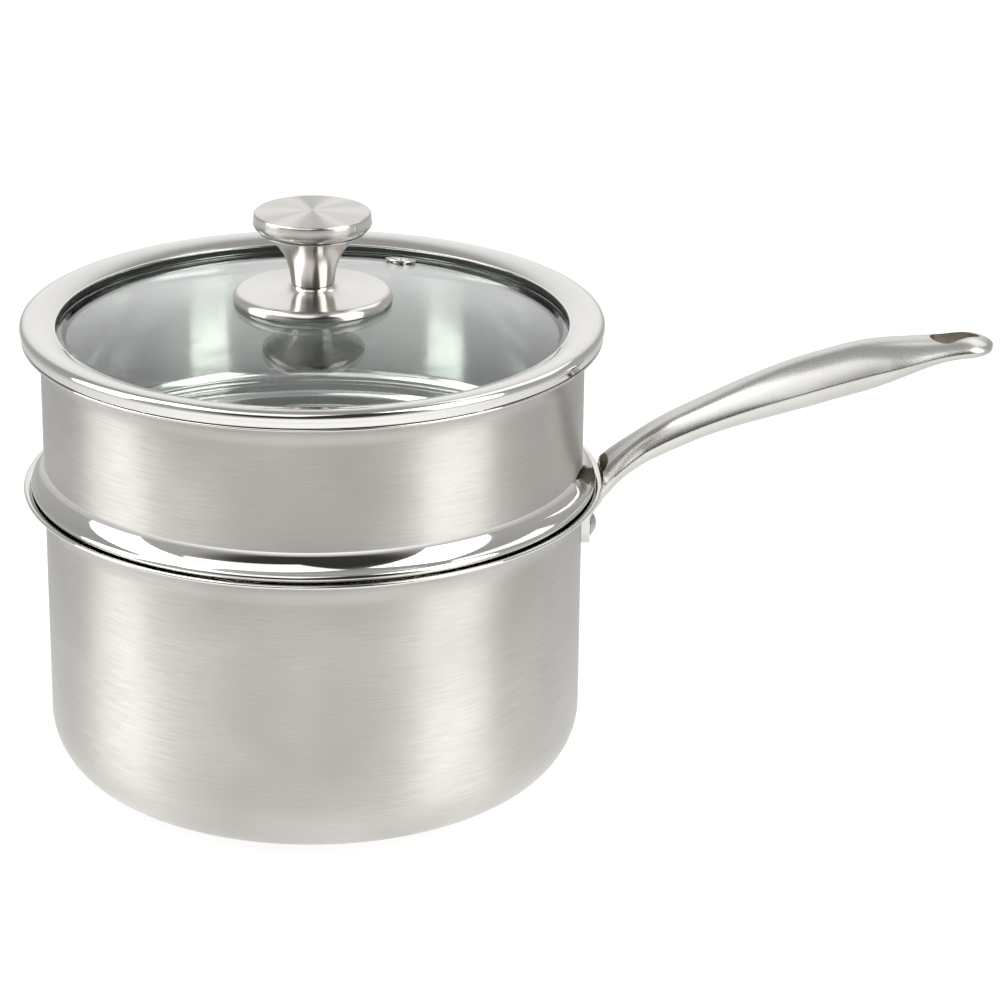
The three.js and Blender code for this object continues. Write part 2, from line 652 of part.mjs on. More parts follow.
/** Base plate: hollow below to follow the glass, with a groove for its gasket. */
function knobBase() {
  const groove = domeHeight(GASKET_INNER) + GASKET_THICKNESS + 2 * SEAT_GAP;
  const plateTop = plateEdge + KNOB_BASE_RIM;
  const rimCentre = at(KNOB_BASE_RADIUS - KNOB_BASE_ROUND, plateTop - KNOB_BASE_ROUND);
  const flare = at(KNOB_BASE_FLARE, plateTop - KNOB_BASE_DISH);
  const corner = at(KNOB_NECK + KNOB_BASE_DISH, flare.y);
  const trumpet = new THREE.QuadraticBezierCurve(flare, corner, at(KNOB_NECK, neckHeight));
  return revolve([
    ...domeLine(screwBore, GASKET_INNER - SEAT_GAP, -SEAT_GAP, 2),
    at(GASKET_INNER - SEAT_GAP, groove),
    at(GASKET_OUTER + SEAT_GAP, groove),
    ...domeLine(GASKET_OUTER + SEAT_GAP, KNOB_BASE_RADIUS, -SEAT_GAP, 2),
    ...arc(rimCentre, KNOB_BASE_ROUND, 0, 90, 4),
    ...trumpet.getPoints(5),
    at(screwBore, neckHeight),
  ], KNOB_FACETS);
}

/** Stem: a waist that flares into the flange under the cap, bored from below for its nut. */
function knobStem() {
  const pocket = NUT_RADIUS + SEAT_GAP;
  const ceiling = stemFoot + NUT_LENGTH + 2 * SEAT_GAP;
  const foot = at(KNOB_STEM_FOOT, stemFoot + KNOB_FOOT_ROUND);
  const top = at(KNOB_STEM_TOP, stemFlange);
  const side = new THREE.CubicBezierCurve(
    foot,
    foot.clone().addScaledVector(heading(KNOB_STEM_TAPER), KNOB_STEM_PULL),
    top.clone().addScaledVector(heading(KNOB_FLARE_ANGLE), -KNOB_FLARE_PULL),
    top,
  );
  return revolve([
    at(pocket, stemFoot),
    ...arc(at(foot.x - KNOB_FOOT_ROUND, foot.y), KNOB_FOOT_ROUND, -90, 0, 2),
    ...side.getPoints(7),
    at(KNOB_CAP_FOOT, stemFlange + KNOB_FLANGE_EDGE / 2),
    at(KNOB_CAP_FOOT, stemFlange + KNOB_FLANGE_EDGE),
    at(spigotRadius, stemFlange + KNOB_FLANGE_EDGE),
    at(spigotRadius, capFoot + KNOB_SPIGOT_HEIGHT),
    at(0, capFoot + KNOB_SPIGOT_HEIGHT),
    at(0, ceiling),
    at(pocket, ceiling),
  ], KNOB_FACETS);
}

/** Cap: turned, with a bowl-shaped lower side and a low crown, hollow for the stem. */
function knobCap() {
  const side = capFoot + KNOB_CAP_SKIRT;
  const top = side + KNOB_CAP_EDGE + KNOB_CAP_CROWN;
  const inside = KNOB_CAP_FOOT - KNOB_CAP_SHEET;
  const widest = at(KNOB_CAP_RADIUS, capFoot + KNOB_CAP_BOWL);
  const ceiling = capFoot + KNOB_SPIGOT_HEIGHT + SEAT_GAP;
  return revolve([
    at(0, ceiling),
    at(inside, ceiling),
    at(inside, capFoot),
    ...sweep(at(KNOB_CAP_FOOT, capFoot), widest, KNOB_FLARE_ANGLE, 3),
    ...arc(at(KNOB_CAP_RADIUS - KNOB_CAP_EDGE, side), KNOB_CAP_EDGE, 0, 90, 3),
    at(0, top),
  ], KNOB_FACETS);
}

/** Plain ring between two radii and two heights. */
function ring(inside, outside, low, high, facets) {
  return revolve([at(inside, low), at(outside, low), at(outside, high), at(inside, high)], facets);
}

function baseGasket() {
  const low = domeHeight(GASKET_INNER) + SEAT_GAP;
  return ring(GASKET_INNER, GASKET_OUTER, low, low + GASKET_THICKNESS, KNOB_FACETS);
}

const grommetTop = crown - GLASS_THICKNESS - SEAT_GAP;
const washerTop = grommetTop - GASKET_THICKNESS - SEAT_GAP;
const headTop = washerTop - WASHER_THICKNESS - SEAT_GAP;

/** Silicone under the glass, with a collar that keeps the screw off the glass. */
function glassGrommet() {
  const collar = screwBore + GROMMET_COLLAR;
  const low = grommetTop - GASKET_THICKNESS;
  return revolve([
    at(screwBore, low),
    at(GROMMET_RADIUS, low),
    at(GROMMET_RADIUS, grommetTop),
    at(collar, grommetTop),
    at(collar, crown - SEAT_GAP),
    at(screwBore, crown - SEAT_GAP),
  ], SMALL_FACETS);
}

function knobScrew() {
  const low = headTop - SCREW_HEAD_HEIGHT;
  const tip = stemFoot + SCREW_REACH;
  return revolve([
    at(0, low),
    ...arc(at(SCREW_HEAD_RADIUS - SCREW_HEAD_ROUND, low + SCREW_HEAD_ROUND), SCREW_HEAD_ROUND, -90, 0, 2),
    at(SCREW_HEAD_RADIUS, headTop),
    at(SCREW_RADIUS, headTop),
    at(SCREW_RADIUS, tip - SCREW_RADIUS / 2),
    at(SCREW_RADIUS / 2, tip),
    at(0, tip),
  ], SMALL_FACETS);
}

function knobNut() {
  const low = stemFoot + SEAT_GAP;
  return ring(screwBore, NUT_RADIUS, low, low + NUT_LENGTH, SMALL_FACETS);
}

function screwWasher() {
  return ring(screwBore, WASHER_RADIUS, headTop + SEAT_GAP, washerTop, SMALL_FACETS);
}

// Assembly

const saucepan = new THREE.Group();
saucepan.add(
  piece('saucepan_body', saucepanBody, brushedSteel),
  piece('handle', toGeometry(handleBody), satinSteel),
  piece('handle_rivet', rivet(), polishedSteel),
);

const steamer = new THREE.Group();
steamer.add(piece('steamer_insert', steamerInsert, brushedSteel));

const knob = new THREE.Group();
knob.add(
  piece('knob_base', knobBase(), satinSteel),
  piece('knob_stem', knobStem(), satinSteel),
  piece('knob_cap', knobCap(), satinSteel),
  piece('knob_nut', knobNut(), brass),
  piece('knob_screw', knobScrew(), polishedSteel),
  piece('knob_gasket', baseGasket(), clearSilicone),
  piece('glass_grommet', glassGrommet(), clearSilicone),
  piece('screw_washer', screwWasher(), polishedSteel),
);

const lid = new THREE.Group();
lid.add(
  piece('lid_glass', lidGlass(), clearGlass),
  piece('lid_rim', lidRim(), polishedSteel),
  piece('lid_seal', lidSeal(), clearSilicone),
  piece('vent_grommet', ventGrommet(), polishedSteel),
  knob,
);

const steamerPot = new THREE.Group();
steamerPot.add(saucepan, steamer, lid);

export default steamerPot;
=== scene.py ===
"""Looks of the steamer pot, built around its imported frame.

Each sub-assembly is a class: its fields are its sizes in millimetres, its methods build the fine meshes that
stand for the frame's nodes and dress them in their finishes. Meshes are in metres, in the frame's own axes:
+Z up along the pan's axis, +X along the handle.
"""

import logging
import math
from dataclasses import dataclass
from enum import Enum
from typing import Callable, Mapping, Sequence

import bmesh
import bpy
from mathutils import Matrix, Vector


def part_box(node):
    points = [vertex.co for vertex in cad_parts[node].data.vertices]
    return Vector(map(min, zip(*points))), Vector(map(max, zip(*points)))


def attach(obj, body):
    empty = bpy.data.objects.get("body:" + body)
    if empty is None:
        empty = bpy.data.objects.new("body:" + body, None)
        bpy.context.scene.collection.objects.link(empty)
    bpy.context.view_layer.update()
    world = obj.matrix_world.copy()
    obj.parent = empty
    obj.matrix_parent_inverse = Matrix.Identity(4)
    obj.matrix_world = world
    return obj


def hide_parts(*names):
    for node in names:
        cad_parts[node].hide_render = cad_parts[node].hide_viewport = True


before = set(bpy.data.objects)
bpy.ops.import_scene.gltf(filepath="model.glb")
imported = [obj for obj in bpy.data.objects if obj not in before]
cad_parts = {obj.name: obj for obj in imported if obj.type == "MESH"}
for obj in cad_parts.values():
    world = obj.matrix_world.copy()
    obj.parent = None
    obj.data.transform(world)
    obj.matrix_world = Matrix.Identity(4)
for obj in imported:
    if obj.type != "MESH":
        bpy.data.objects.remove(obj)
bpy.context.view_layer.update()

log = logging.getLogger("steamer_pot")

MM = 0.001
FRAME_PIXELS = 1000
TINY = 1e-6

# Facets round the axis of the pan, the lid, the knob, small pieces and punches
ROUND = 192
LID_ROUND = 256
KNOB_ROUND = 128
SMALL_ROUND = 64
PUNCH_ROUND = 24

# Most of an edge that the rounding of one corner takes up
CORNER_SHARE = 0.49

# Sockets of a colour mix
MIX_FROM = 6
MIX_TO = 7
MIX_RESULT = 2

Point = tuple[float, float]
Place = tuple[float, float, float]
Corner = tuple[float, float, float]
Inputs = Mapping[str | int, object]
Zone = Callable[[Vector, Vector], int]


class Body(Enum):
    """Bodies of the frame that pieces ride on."""

    PAN = "saucepan"
    STEAMER = "steamer"
    LID = "lid"


class Slot(Enum):
    """Material slots of the finishes."""

    BRUSHED = "brushed_steel"
    CAST = "cast_steel"
    POLISHED = "polished_steel"
    SATIN = "satin_steel"
    GLASS = "glass"
    SILICONE = "silicone"
    BRASS = "brass"


class Cut(Enum):
    """Ways to shape one solid with another."""

    JOIN = "UNION"
    CARVE = "DIFFERENCE"
    KEEP = "INTERSECT"


# Frame sizes

def low(node: str) -> Vector:
    """Lowest corner of a frame node in millimetres."""
    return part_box(node)[0] / MM


def high(node: str) -> Vector:
    """Highest corner of a frame node in millimetres."""
    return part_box(node)[1] / MM


# Outlines in the (radius, height) plane

def arc(centre: Point, radius: float, start: float, end: float, steps: int = 12) -> list[Point]:
    """Points along a circular arc.

    Args:
        centre: centre of the circle.
        radius: its radius.
        start: first angle, degrees from the outward direction.
        end: last angle.
        steps: number of chords.

    Returns:
        The points from start to end.
    """
    angles = [math.radians(start + (end - start) * i / steps) for i in range(steps + 1)]
    return [(centre[0] + radius * math.cos(a), centre[1] + radius * math.sin(a)) for a in angles]


def bezier(pulls: Sequence[Point], steps: int = 24) -> list[Point]:
    """Points of a curve that runs from its first pull to its last and leans towards those between.

    Args:
        pulls: control points.
        steps: number of chords.

    Returns:
        The points from the first pull to the last.
    """
    points = []
    for i in range(steps + 1):
        line = [Vector(p) for p in pulls]
        while len(line) > 1:
            line = [a.lerp(b, i / steps) for a, b in zip(line, line[1:])]
        points.append(tuple(line[0]))
    return points


def pulled(point: Point, angle: float, length: float) -> Point:
    """Point at a distance from another, in a direction given in degrees."""
    turn = math.radians(angle)
    return (point[0] + length * math.cos(turn), point[1] + length * math.sin(turn))


def sweep(first: Point, last: Point, angle: float, steps: int = 24) -> list[Point]:
    """Points of a bend that leaves its first point at a given angle.

    Args:
        first: where the bend starts.
        last: where it ends.
        angle: heading at the start, degrees.
        steps: number of chords.

    Returns:
        The points from first to last.
    """
    return bezier([first, pulled(first, angle, math.dist(first, last) / 2), last], steps)


def rounded(corners: Sequence[Corner], steps: int = 6) -> list[Point]:
    """Outline through corners, each rounded by its own radius.

    Args:
        corners: (radius, height, corner radius) of each corner, in order.
        steps: chords of each rounding.

    Returns:
        The points of the outline. The first and last corner stay sharp.
    """
    points: list[Point] = [corners[0][:2]]
    for before, here, after in zip(corners, corners[1:], corners[2:]):
        corner = Vector(here[:2])
        back = Vector(before[:2]) - corner
        ahead = Vector(after[:2]) - corner
        reach = min(here[2], back.length * CORNER_SHARE, ahead.length * CORNER_SHARE)
        start = corner + back.normalized() * reach
        end = corner + ahead.normalized() * reach
        points += bezier([start, corner, end], steps)
    points.append(corners[-1][:2])
    return points


def sheet(path: Sequence[Point], thickness: Callable[[float], float]) -> list[Point]:
    """Outline of a drawn sheet whose middle follows a path from the axis to a free edge.

    Args:
        path: middle of the sheet, starting on the axis.
        thickness: thickness at a share of the path, 0 at the axis and 1 at the edge.

    Returns:
        The outer side, the rounded edge and the inner side, from axis to axis.
    """
    points = [Vector(p) for i, p in enumerate(path) if i == 0 or math.dist(p, path[i - 1]) > TINY]
    lengths = [0.0]
    for a, b in zip(points, points[1:]):
        lengths.append(lengths[-1] + (b - a).length)
    right: list[Point] = []
    left: list[Point] = []
    for i, point in enumerate(points):
        along = points[min(i + 1, len(points) - 1)] - points[max(i - 1, 0)]
        normal = Vector((along.y, -along.x)).normalized() * thickness(lengths[i] / lengths[-1]) / 2
        right.append(tuple(point + normal))
        left.append(tuple(point - normal))
    edge = points[-1]
    half = Vector(right[-1]) - edge
    turn = math.degrees(math.atan2(half.y, half.x))
    return right + arc(tuple(edge), half.length, turn, turn + 180, 8)[1:-1] + left[::-1]


# Meshes

def mesh_object(name: str, points: Sequence[Place],
                faces: Sequence[Sequence[int]]) -> bpy.types.Object:
    """Makes an object of a closed mesh.

    Args:
        name: piece name.
        points: vertices in millimetres.
        faces: vertex indices of each face.

    Returns:
        The new object, with smooth faces that point outward.
    """
    mesh = bpy.data.meshes.new(name)
    mesh.from_pydata([tuple(c * MM for c in p) for p in points], [], faces)
    mesh.validate()
    built = bpy.data.objects.new(name, mesh)
    bpy.context.scene.collection.objects.link(built)
    smooth(built)
    return built


def smooth(piece: bpy.types.Object, crease: float = 38.0) -> None:
    """Turns a mesh's faces outward and smooths it, apart from its creases.

    Args:
        piece: piece to smooth.
        crease: angle between two faces, degrees, above which their edge stays sharp.
    """
    work = bmesh.new()
    work.from_mesh(piece.data)
    bmesh.ops.recalc_face_normals(work, faces=work.faces)
    work.to_mesh(piece.data)
    work.free()
    piece.data.shade_smooth()
    piece.data.set_sharp_from_angle(angle=math.radians(crease))


def lathe(name: str, outline: Sequence[Point], rounds: int = ROUND) -> bpy.types.Object:
    """Turns an outline about Z.

    Args:
        name: piece name.
        outline: from axis to axis, or a closed loop off the axis.
        rounds: number of facets round the axis.

    Returns:
        The turned piece.
    """
    on_axis = outline[0][0] < TINY
    points: list[Place] = []
    rows: list[list[int]] = []
    for r, z in outline:
        if r < TINY:
            rows.append([len(points)] * rounds)
            points.append((0.0, 0.0, z))
            continue
        rows.append(list(range(len(points), len(points) + rounds)))
        for i in range(rounds):
            a = 2 * math.pi * i / rounds
            points.append((r * math.cos(a), r * math.sin(a), z))
    pairs = list(zip(rows, rows[1:])) + ([] if on_axis else [(rows[-1], rows[0])])
    faces = []
    for this, other in pairs:
        for i in range(rounds):
            j = (i + 1) % rounds
            ring = [this[i], this[j], other[j], other[i]]
            faces.append([v for k, v in enumerate(ring) if v != ring[k - 1]])
    return mesh_object(name, points, faces)


def loft(name: str, rings: Sequence[Sequence[Place]]) -> bpy.types.Object:
    """Skins a row of rings and closes both ends.

    Args:
        name: piece name.
        rings: points of each ring in millimetres, as many in every ring.

    Returns:
        The skinned piece.
    """
    count = len(rings[0])
    points = [p for ring in rings for p in ring]
    faces = [list(range(count))[::-1], list(range(len(points) - count, len(points)))]
    for i in range(len(rings) - 1):
        for j in range(count):
            k = (j + 1) % count
            faces.append([i * count + j, i * count + k, (i + 1) * count + k, (i + 1) * count + j])
    return mesh_object(name, points, faces)


def prism(name: str, outline: Sequence[Point], bottom: float, top: float) -> bpy.types.Object:
    """Extrudes an outline of (x, y) points from one height to another."""
    return loft(name, [[(x, y, z) for x, y in outline] for z in (bottom, top)])


def combine(piece: bpy.types.Object, tool: bpy.types.Object, cut: Cut) -> None:
    """Shapes a piece with a tool and removes the tool.

    Args:
        piece: piece to shape.
        tool: solid that shapes it.
        cut: what the tool does to the piece.
    """
    change = piece.modifiers.new(cut.name, "BOOLEAN")
    change.operation = cut.value
    change.solver = "EXACT"
    change.object = tool
    graph = bpy.context.evaluated_depsgraph_get()
    done = bpy.data.meshes.new_from_object(piece.evaluated_get(graph))
    done.name = piece.name
    piece.modifiers.clear()
    piece.data = done
    bpy.data.objects.remove(tool)


# Finishes

def linear(colour: str) -> tuple[float, float, float, float]:
    """Linear colour of an sRGB hex value such as c8c6c2."""
    parts = [int(colour[i:i + 2], 16) / 255 for i in (0, 2, 4)]
    return (*(c / 12.92 if c <= 0.04045 else ((c + 0.055) / 1.055) ** 2.4 for c in parts), 1.0)


def add(tree: bpy.types.NodeTree, kind: str, inputs: Inputs | None = None,
        **settings: object) -> bpy.types.Node:
    """Adds one node with its settings and links.

    Args:
        tree: tree that takes the node.
        kind: the node's type.
        inputs: socket name or number, to a value or to the socket it is linked from.
        settings: the node's own properties.

    Returns:
        The new node.
    """
    node = tree.nodes.new(kind)
    for key, value in settings.items():
        setattr(node, key, value)
    for key, value in (inputs or {}).items():
        if isinstance(value, bpy.types.NodeSocket):
            tree.links.new(value, node.inputs[key])
        else:
            node.inputs[key].default_value = value
    return node


def new_material(name: str) -> tuple[bpy.types.Material, bpy.types.NodeTree]:
    """Makes an empty node material.

    Args:
        name: the material's name.

    Returns:
        The material and its tree of nodes.
    """
    material = bpy.data.materials.new(name)
    material.use_nodes = True
    material.node_tree.nodes.clear()
    return material, material.node_tree


@dataclass(frozen=True)
class TurnedMetal:
    """Metal worked round its own axis: brushed, spun, turned or buffed.

    The lines run round the axis, so light spreads across them into upright bands. Their spacing, the length
    of a streak and the depth of a groove are in millimetres. Real lines are near 0.1 mm apart: drawn wider,
    so that they show.
    """

    name: str
    slot: Slot
    colour: str
    worn: str
    roughness: float
    spread: float
    line: float
    streak: float
    relief: float
    stretch: float
    groove: float = 0.05
    cloud_streaks: float = 4.0
    quarter_turn: float = 0.25

    def material(self) -> bpy.types.Material:
        """Builds the finish.

        Returns:
            Its material.
        """
        material, tree = new_material(self.name)
        place = add(tree, "ShaderNodeTexCoord").outputs["Object"]
        axes = add(tree, "ShaderNodeSeparateXYZ", {0: place}).outputs
        level = add(tree, "ShaderNodeCombineXYZ", {"X": axes["X"], "Y": axes["Y"]}).outputs[0]
        radius = add(tree, "ShaderNodeVectorMath", {0: level}, operation="LENGTH").outputs["Value"]
        across = add(tree, "ShaderNodeMath", {0: radius, 1: axes["Z"]}, operation="ADD").outputs[0]
        laid = add(tree, "ShaderNodeCombineXYZ", {"X": axes["X"], "Y": axes["Y"], "Z": across}).outputs[0]
        pitch = (1 / (self.streak * MM), 1 / (self.streak * MM), 1 / (self.line * MM))
        stretched = add(tree, "ShaderNodeVectorMath", {0: laid, 1: pitch}, operation="MULTIPLY").outputs[0]
        lines = add(tree, "ShaderNodeTexNoise", {"Vector": stretched, "Scale": 1.0, "Detail": 3.0,
                                                 "Roughness": 0.65}).outputs["Fac"]
        cloud = add(tree, "ShaderNodeTexNoise", {"Vector": place, "Detail": 2.0,
                                                 "Scale": 1 / (self.cloud_streaks * self.streak * MM),
                                                 }).outputs["Fac"]
        both = add(tree, "ShaderNodeMath", {0: lines, 1: cloud}, operation="MULTIPLY").outputs[0]
        tone = add(tree, "ShaderNodeMix", {"Factor": both, MIX_FROM: linear(self.worn),
                                           MIX_TO: linear(self.colour)},
                   data_type="RGBA").outputs[MIX_RESULT]
        rough = add(tree, "ShaderNodeMapRange", {"Value": lines, "From Min": 0.25, "From Max": 0.75,
                                                 "To Min": self.roughness - self.spread,
                                                 "To Max": self.roughness + self.spread}).outputs[0]
        bump = add(tree, "ShaderNodeBump", {"Strength": self.relief, "Distance": self.groove * MM,
                                            "Height": lines}).outputs[0]
        grain = add(tree, "ShaderNodeTangent", direction_type="RADIAL", axis="Z").outputs[0]
        steel = add(tree, "ShaderNodeBsdfPrincipled", {
            "Base Color": tone, "Metallic": 1.0, "Roughness": rough, "Anisotropic": self.stretch,
            "Anisotropic Rotation": self.quarter_turn, "Tangent": grain, "Normal": bump})
        add(tree, "ShaderNodeOutputMaterial", {"Surface": steel.outputs[0]})
        return material


@dataclass(frozen=True)
class SatinSteel:
    """Stainless steel without lines, blasted, tumbled or left as cast: an even satin with a soft grain.

    The width of a grain, the depth of a pit and the size of a cloud are in millimetres. Real grain is near
    0.1 mm wide: drawn wider, so that it shows.
    """

    name: str
    slot: Slot
    colour: str
    worn: str
    roughness: float
    grain: float
    relief: float
    pit: float = 0.05
    cloud: float = 14.0
    spread: float = 0.05

    def material(self) -> bpy.types.Material:
        """Builds the finish.

        Returns:
            Its material.
        """
        material, tree = new_material(self.name)
        place = add(tree, "ShaderNodeTexCoord").outputs["Object"]
        grain = add(tree, "ShaderNodeTexNoise", {"Vector": place, "Scale": 1 / (self.grain * MM),
                                                 "Detail": 2.0}).outputs["Fac"]
        cloud = add(tree, "ShaderNodeTexNoise", {"Vector": place, "Scale": 1 / (self.cloud * MM),
                                                 "Detail": 2.0}).outputs["Fac"]
        tone = add(tree, "ShaderNodeMix", {"Factor": cloud, MIX_FROM: linear(self.worn),
                                           MIX_TO: linear(self.colour)},
                   data_type="RGBA").outputs[MIX_RESULT]
        rough = add(tree, "ShaderNodeMapRange", {"Value": grain, "From Min": 0.3, "From Max": 0.7,
                                                 "To Min": self.roughness * (1 - self.spread),
                                                 "To Max": self.roughness * (1 + self.spread)}).outputs[0]
        bump = add(tree, "ShaderNodeBump", {"Strength": self.relief, "Distance": self.pit * MM,
                                            "Height": grain}).outputs[0]
        steel = add(tree, "ShaderNodeBsdfPrincipled", {
            "Base Color": tone, "Metallic": 1.0, "Roughness": rough, "Normal": bump})
        add(tree, "ShaderNodeOutputMaterial", {"Surface": steel.outputs[0]})
        return material


@dataclass(frozen=True)
class TemperedGlass:
    """Pressed and tempered soda-lime glass: clear, faintly green, with a slow wave in its face.

    The length of the wave and its depth are in millimetres.
    """

    name: str
    slot: Slot
    colour: str
    wave: float
    wave_depth: float = 0.1
    relief: float = 0.04
    index: float = 1.52

    def material(self) -> bpy.types.Material:
        """Builds the finish.

        Returns:
            Its material.
        """
        material, tree = new_material(self.name)
        place = add(tree, "ShaderNodeTexCoord").outputs["Object"]
        wave = add(tree, "ShaderNodeTexNoise", {"Vector": place, "Scale": 1 / (self.wave * MM),
                                                "Detail": 1.0}).outputs["Fac"]
        bump = add(tree, "ShaderNodeBump", {"Strength": self.relief, "Distance": self.wave_depth * MM,
                                            "Height": wave}).outputs[0]
        glass = add(tree, "ShaderNodeBsdfPrincipled", {
            "Base Color": linear(self.colour), "Roughness": 0.0, "IOR": self.index,
            "Transmission Weight": 1.0, "Normal": bump})
        add(tree, "ShaderNodeOutputMaterial", {"Surface": glass.outputs[0]})
        return material


@dataclass(frozen=True)
class MouldedRubber:
    """Silicone rubber from a satin mould: soft sheen, faint mottle.

    The size of the mottle and how deep light enters are in millimetres.
    """

    name: str
    slot: Slot
    colour: str
    worn: str
    roughness: float
    mottle: float = 2.0
    depth: float = 1.0

    def material(self) -> bpy.types.Material:
        """Builds the finish.

        Returns:
            Its material.
        """
        material, tree = new_material(self.name)
        place = add(tree, "ShaderNodeTexCoord").outputs["Object"]
        mottle = add(tree, "ShaderNodeTexNoise", {"Vector": place,
                                                  "Scale": 1 / (self.mottle * MM)}).outputs["Fac"]
        tone = add(tree, "ShaderNodeMix", {"Factor": mottle, MIX_FROM: linear(self.worn),
                                           MIX_TO: linear(self.colour)},
                   data_type="RGBA").outputs[MIX_RESULT]
        rubber = add(tree, "ShaderNodeBsdfPrincipled", {
            "Base Color": tone, "Roughness": self.roughness, "Subsurface Weight": 0.1,
            "Subsurface Radius": [self.depth * MM] * 3})
        add(tree, "ShaderNodeOutputMaterial", {"Surface": rubber.outputs[0]})
        return material


# Stainless sheet brushed round the axis: soft upright bands of light, crossed by fine level lines
BRUSHED_SHEET = TurnedMetal("stainless_sheet_brushed", Slot.BRUSHED, "eceae6", "a7a49f", roughness=0.40,
                            spread=0.05, line=0.6, streak=13.0, relief=0.06, stretch=0.9)
# Stainless sheet buffed at its edges and folds: a mirror with the faint lines of the wheel
BUFFED_SHEET = TurnedMetal("stainless_sheet_buffed", Slot.POLISHED, "dad9d6", "cac8c4", roughness=0.07,
                           spread=0.02, line=0.6, streak=60.0, relief=0.02, stretch=0.3)
# Inside of the drawn stainless sheet: half polished, so that it still mirrors the holes
DRAWN_INSIDE = TurnedMetal("stainless_sheet_drawn_inside", Slot.BRUSHED, "e9eae6", "dddedb", roughness=0.11,
                           spread=0.03, line=0.6, streak=50.0, relief=0.04, stretch=0.5)
# Stainless knob spun to a satin: fine rings, wide soft bands
SPUN_KNOB = TurnedMetal("stainless_spun_satin", Slot.SATIN, "dad8d4", "cbc8c3", roughness=0.2,
                        spread=0.015, line=0.3, streak=40.0, relief=0.012, stretch=0.85)
# Top of the cap: rings cut by the lathe tool, which fan the light out from the middle
SPUN_FACE = TurnedMetal("stainless_spun_face", Slot.SATIN, "d8d6d2", "c8c5c0", roughness=0.33,
                        spread=0.03, line=0.3, streak=30.0, relief=0.04, stretch=0.95)
# Stainless casting blasted with fine beads: an even pale satin with soft wide highlights
CAST_SATIN = SatinSteel("stainless_cast_blasted", Slot.CAST, "cac9c5", "bfbdb8", roughness=0.27, grain=0.5,
                        relief=0.0)
# Stainless rivet headed cold and tumbled: a grey satin that stands off the blasted pad
TUMBLED_RIVET = SatinSteel("stainless_headed_tumbled", Slot.POLISHED, "bab8b3", "a9a7a2", roughness=0.3,
                           grain=0.5, relief=0.0)
# Stainless casting in the slot and the fork: rough and dull like the raw skin, with a darker brownish colour
# that is painted shade of the openings
CAST_RAW_PAINTED_SHADE = SatinSteel("stainless_cast_raw_painted_shade", Slot.CAST, "a1978b", "81776c", roughness=0.5, grain=0.8,
                      relief=0.2)
# Soda-lime glass, tempered: clear with a green cast, and mirror images that bend a little
CLEAR_GLASS = TemperedGlass("glass_tempered", Slot.GLASS, "f1f7f4", wave=40.0)
# Clear silicone rubber, moulded: milky, with a soft sheen
CLEAR_SILICONE = MouldedRubber("silicone_moulded_clear", Slot.SILICONE, "dcdcd6", "cfcfc8", roughness=0.45)
# Dark silicone rubber, moulded: nearly black, partly its own colour and partly painted shade of the gaps
# round the glass and under the knob's base plate
DARK_SILICONE_PAINTED_SHADE = MouldedRubber("silicone_moulded_dark_painted_shade", Slot.SILICONE, "2c2f2d", "232624", roughness=0.5)
# Brass turned on the lathe: yellow, with fine bright rings
TURNED_BRASS = TurnedMetal("brass_turned", Slot.BRASS, "c8a560", "a88748", roughness=0.25, spread=0.04,
                           line=0.3, streak=20.0, relief=0.05, stretch=0.4)

Finish = TurnedMetal | SatinSteel | TemperedGlass | MouldedRubber


class Workshop:
    """Hands out each finish's material once, and fits finished pieces to the frame."""

    def __init__(self) -> None:
        """Starts with no materials made."""
        self.made: dict[str, bpy.types.Material] = {}

    def material(self, finish: Finish) -> bpy.types.Material:
        """Material of a finish, made at its first use.

        Args:
            finish: finish that is wanted.

        Returns:
            Its one material.
        """
        if finish.name not in self.made:
            self.made[finish.name] = finish.material()
        return self.made[finish.name]

    def dress(self, piece: bpy.types.Object, finishes: Sequence[Finish], zone: Zone | None = None) -> None:
        """Gives a piece its finishes.

        Args:
            piece: piece to dress.
            finishes: its finishes, the main one first.
            zone: index of the finish at a point in millimetres whose surface looks along a normal.
        """
        piece.data.materials.clear()
        for finish in finishes:
            piece.data.materials.append(self.material(finish))
        if zone is None:
            return
        for face in piece.data.polygons:
            face.material_index = zone(face.center / MM, face.normal)

    def fit(self, piece: bpy.types.Object, body: Body, node: str, slot: Slot) -> None:
        """Puts a piece in a node's place.

        Args:
            piece: finished piece.
            body: body that it rides on.
            node: frame node that it stands for.
            slot: its material slot; not used.
        """
        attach(piece, body.value)
        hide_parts(node)
        log.info("%s: %d faces, rides on %s", piece.name, len(piece.data.polygons), body.value)


def outward(point: Vector, normal: Vector) -> float:
    """How much a normal points away from the pot's axis, from -1 to 1."""
    return point.xy.normalized().dot(normal.xy)


# Saucepan

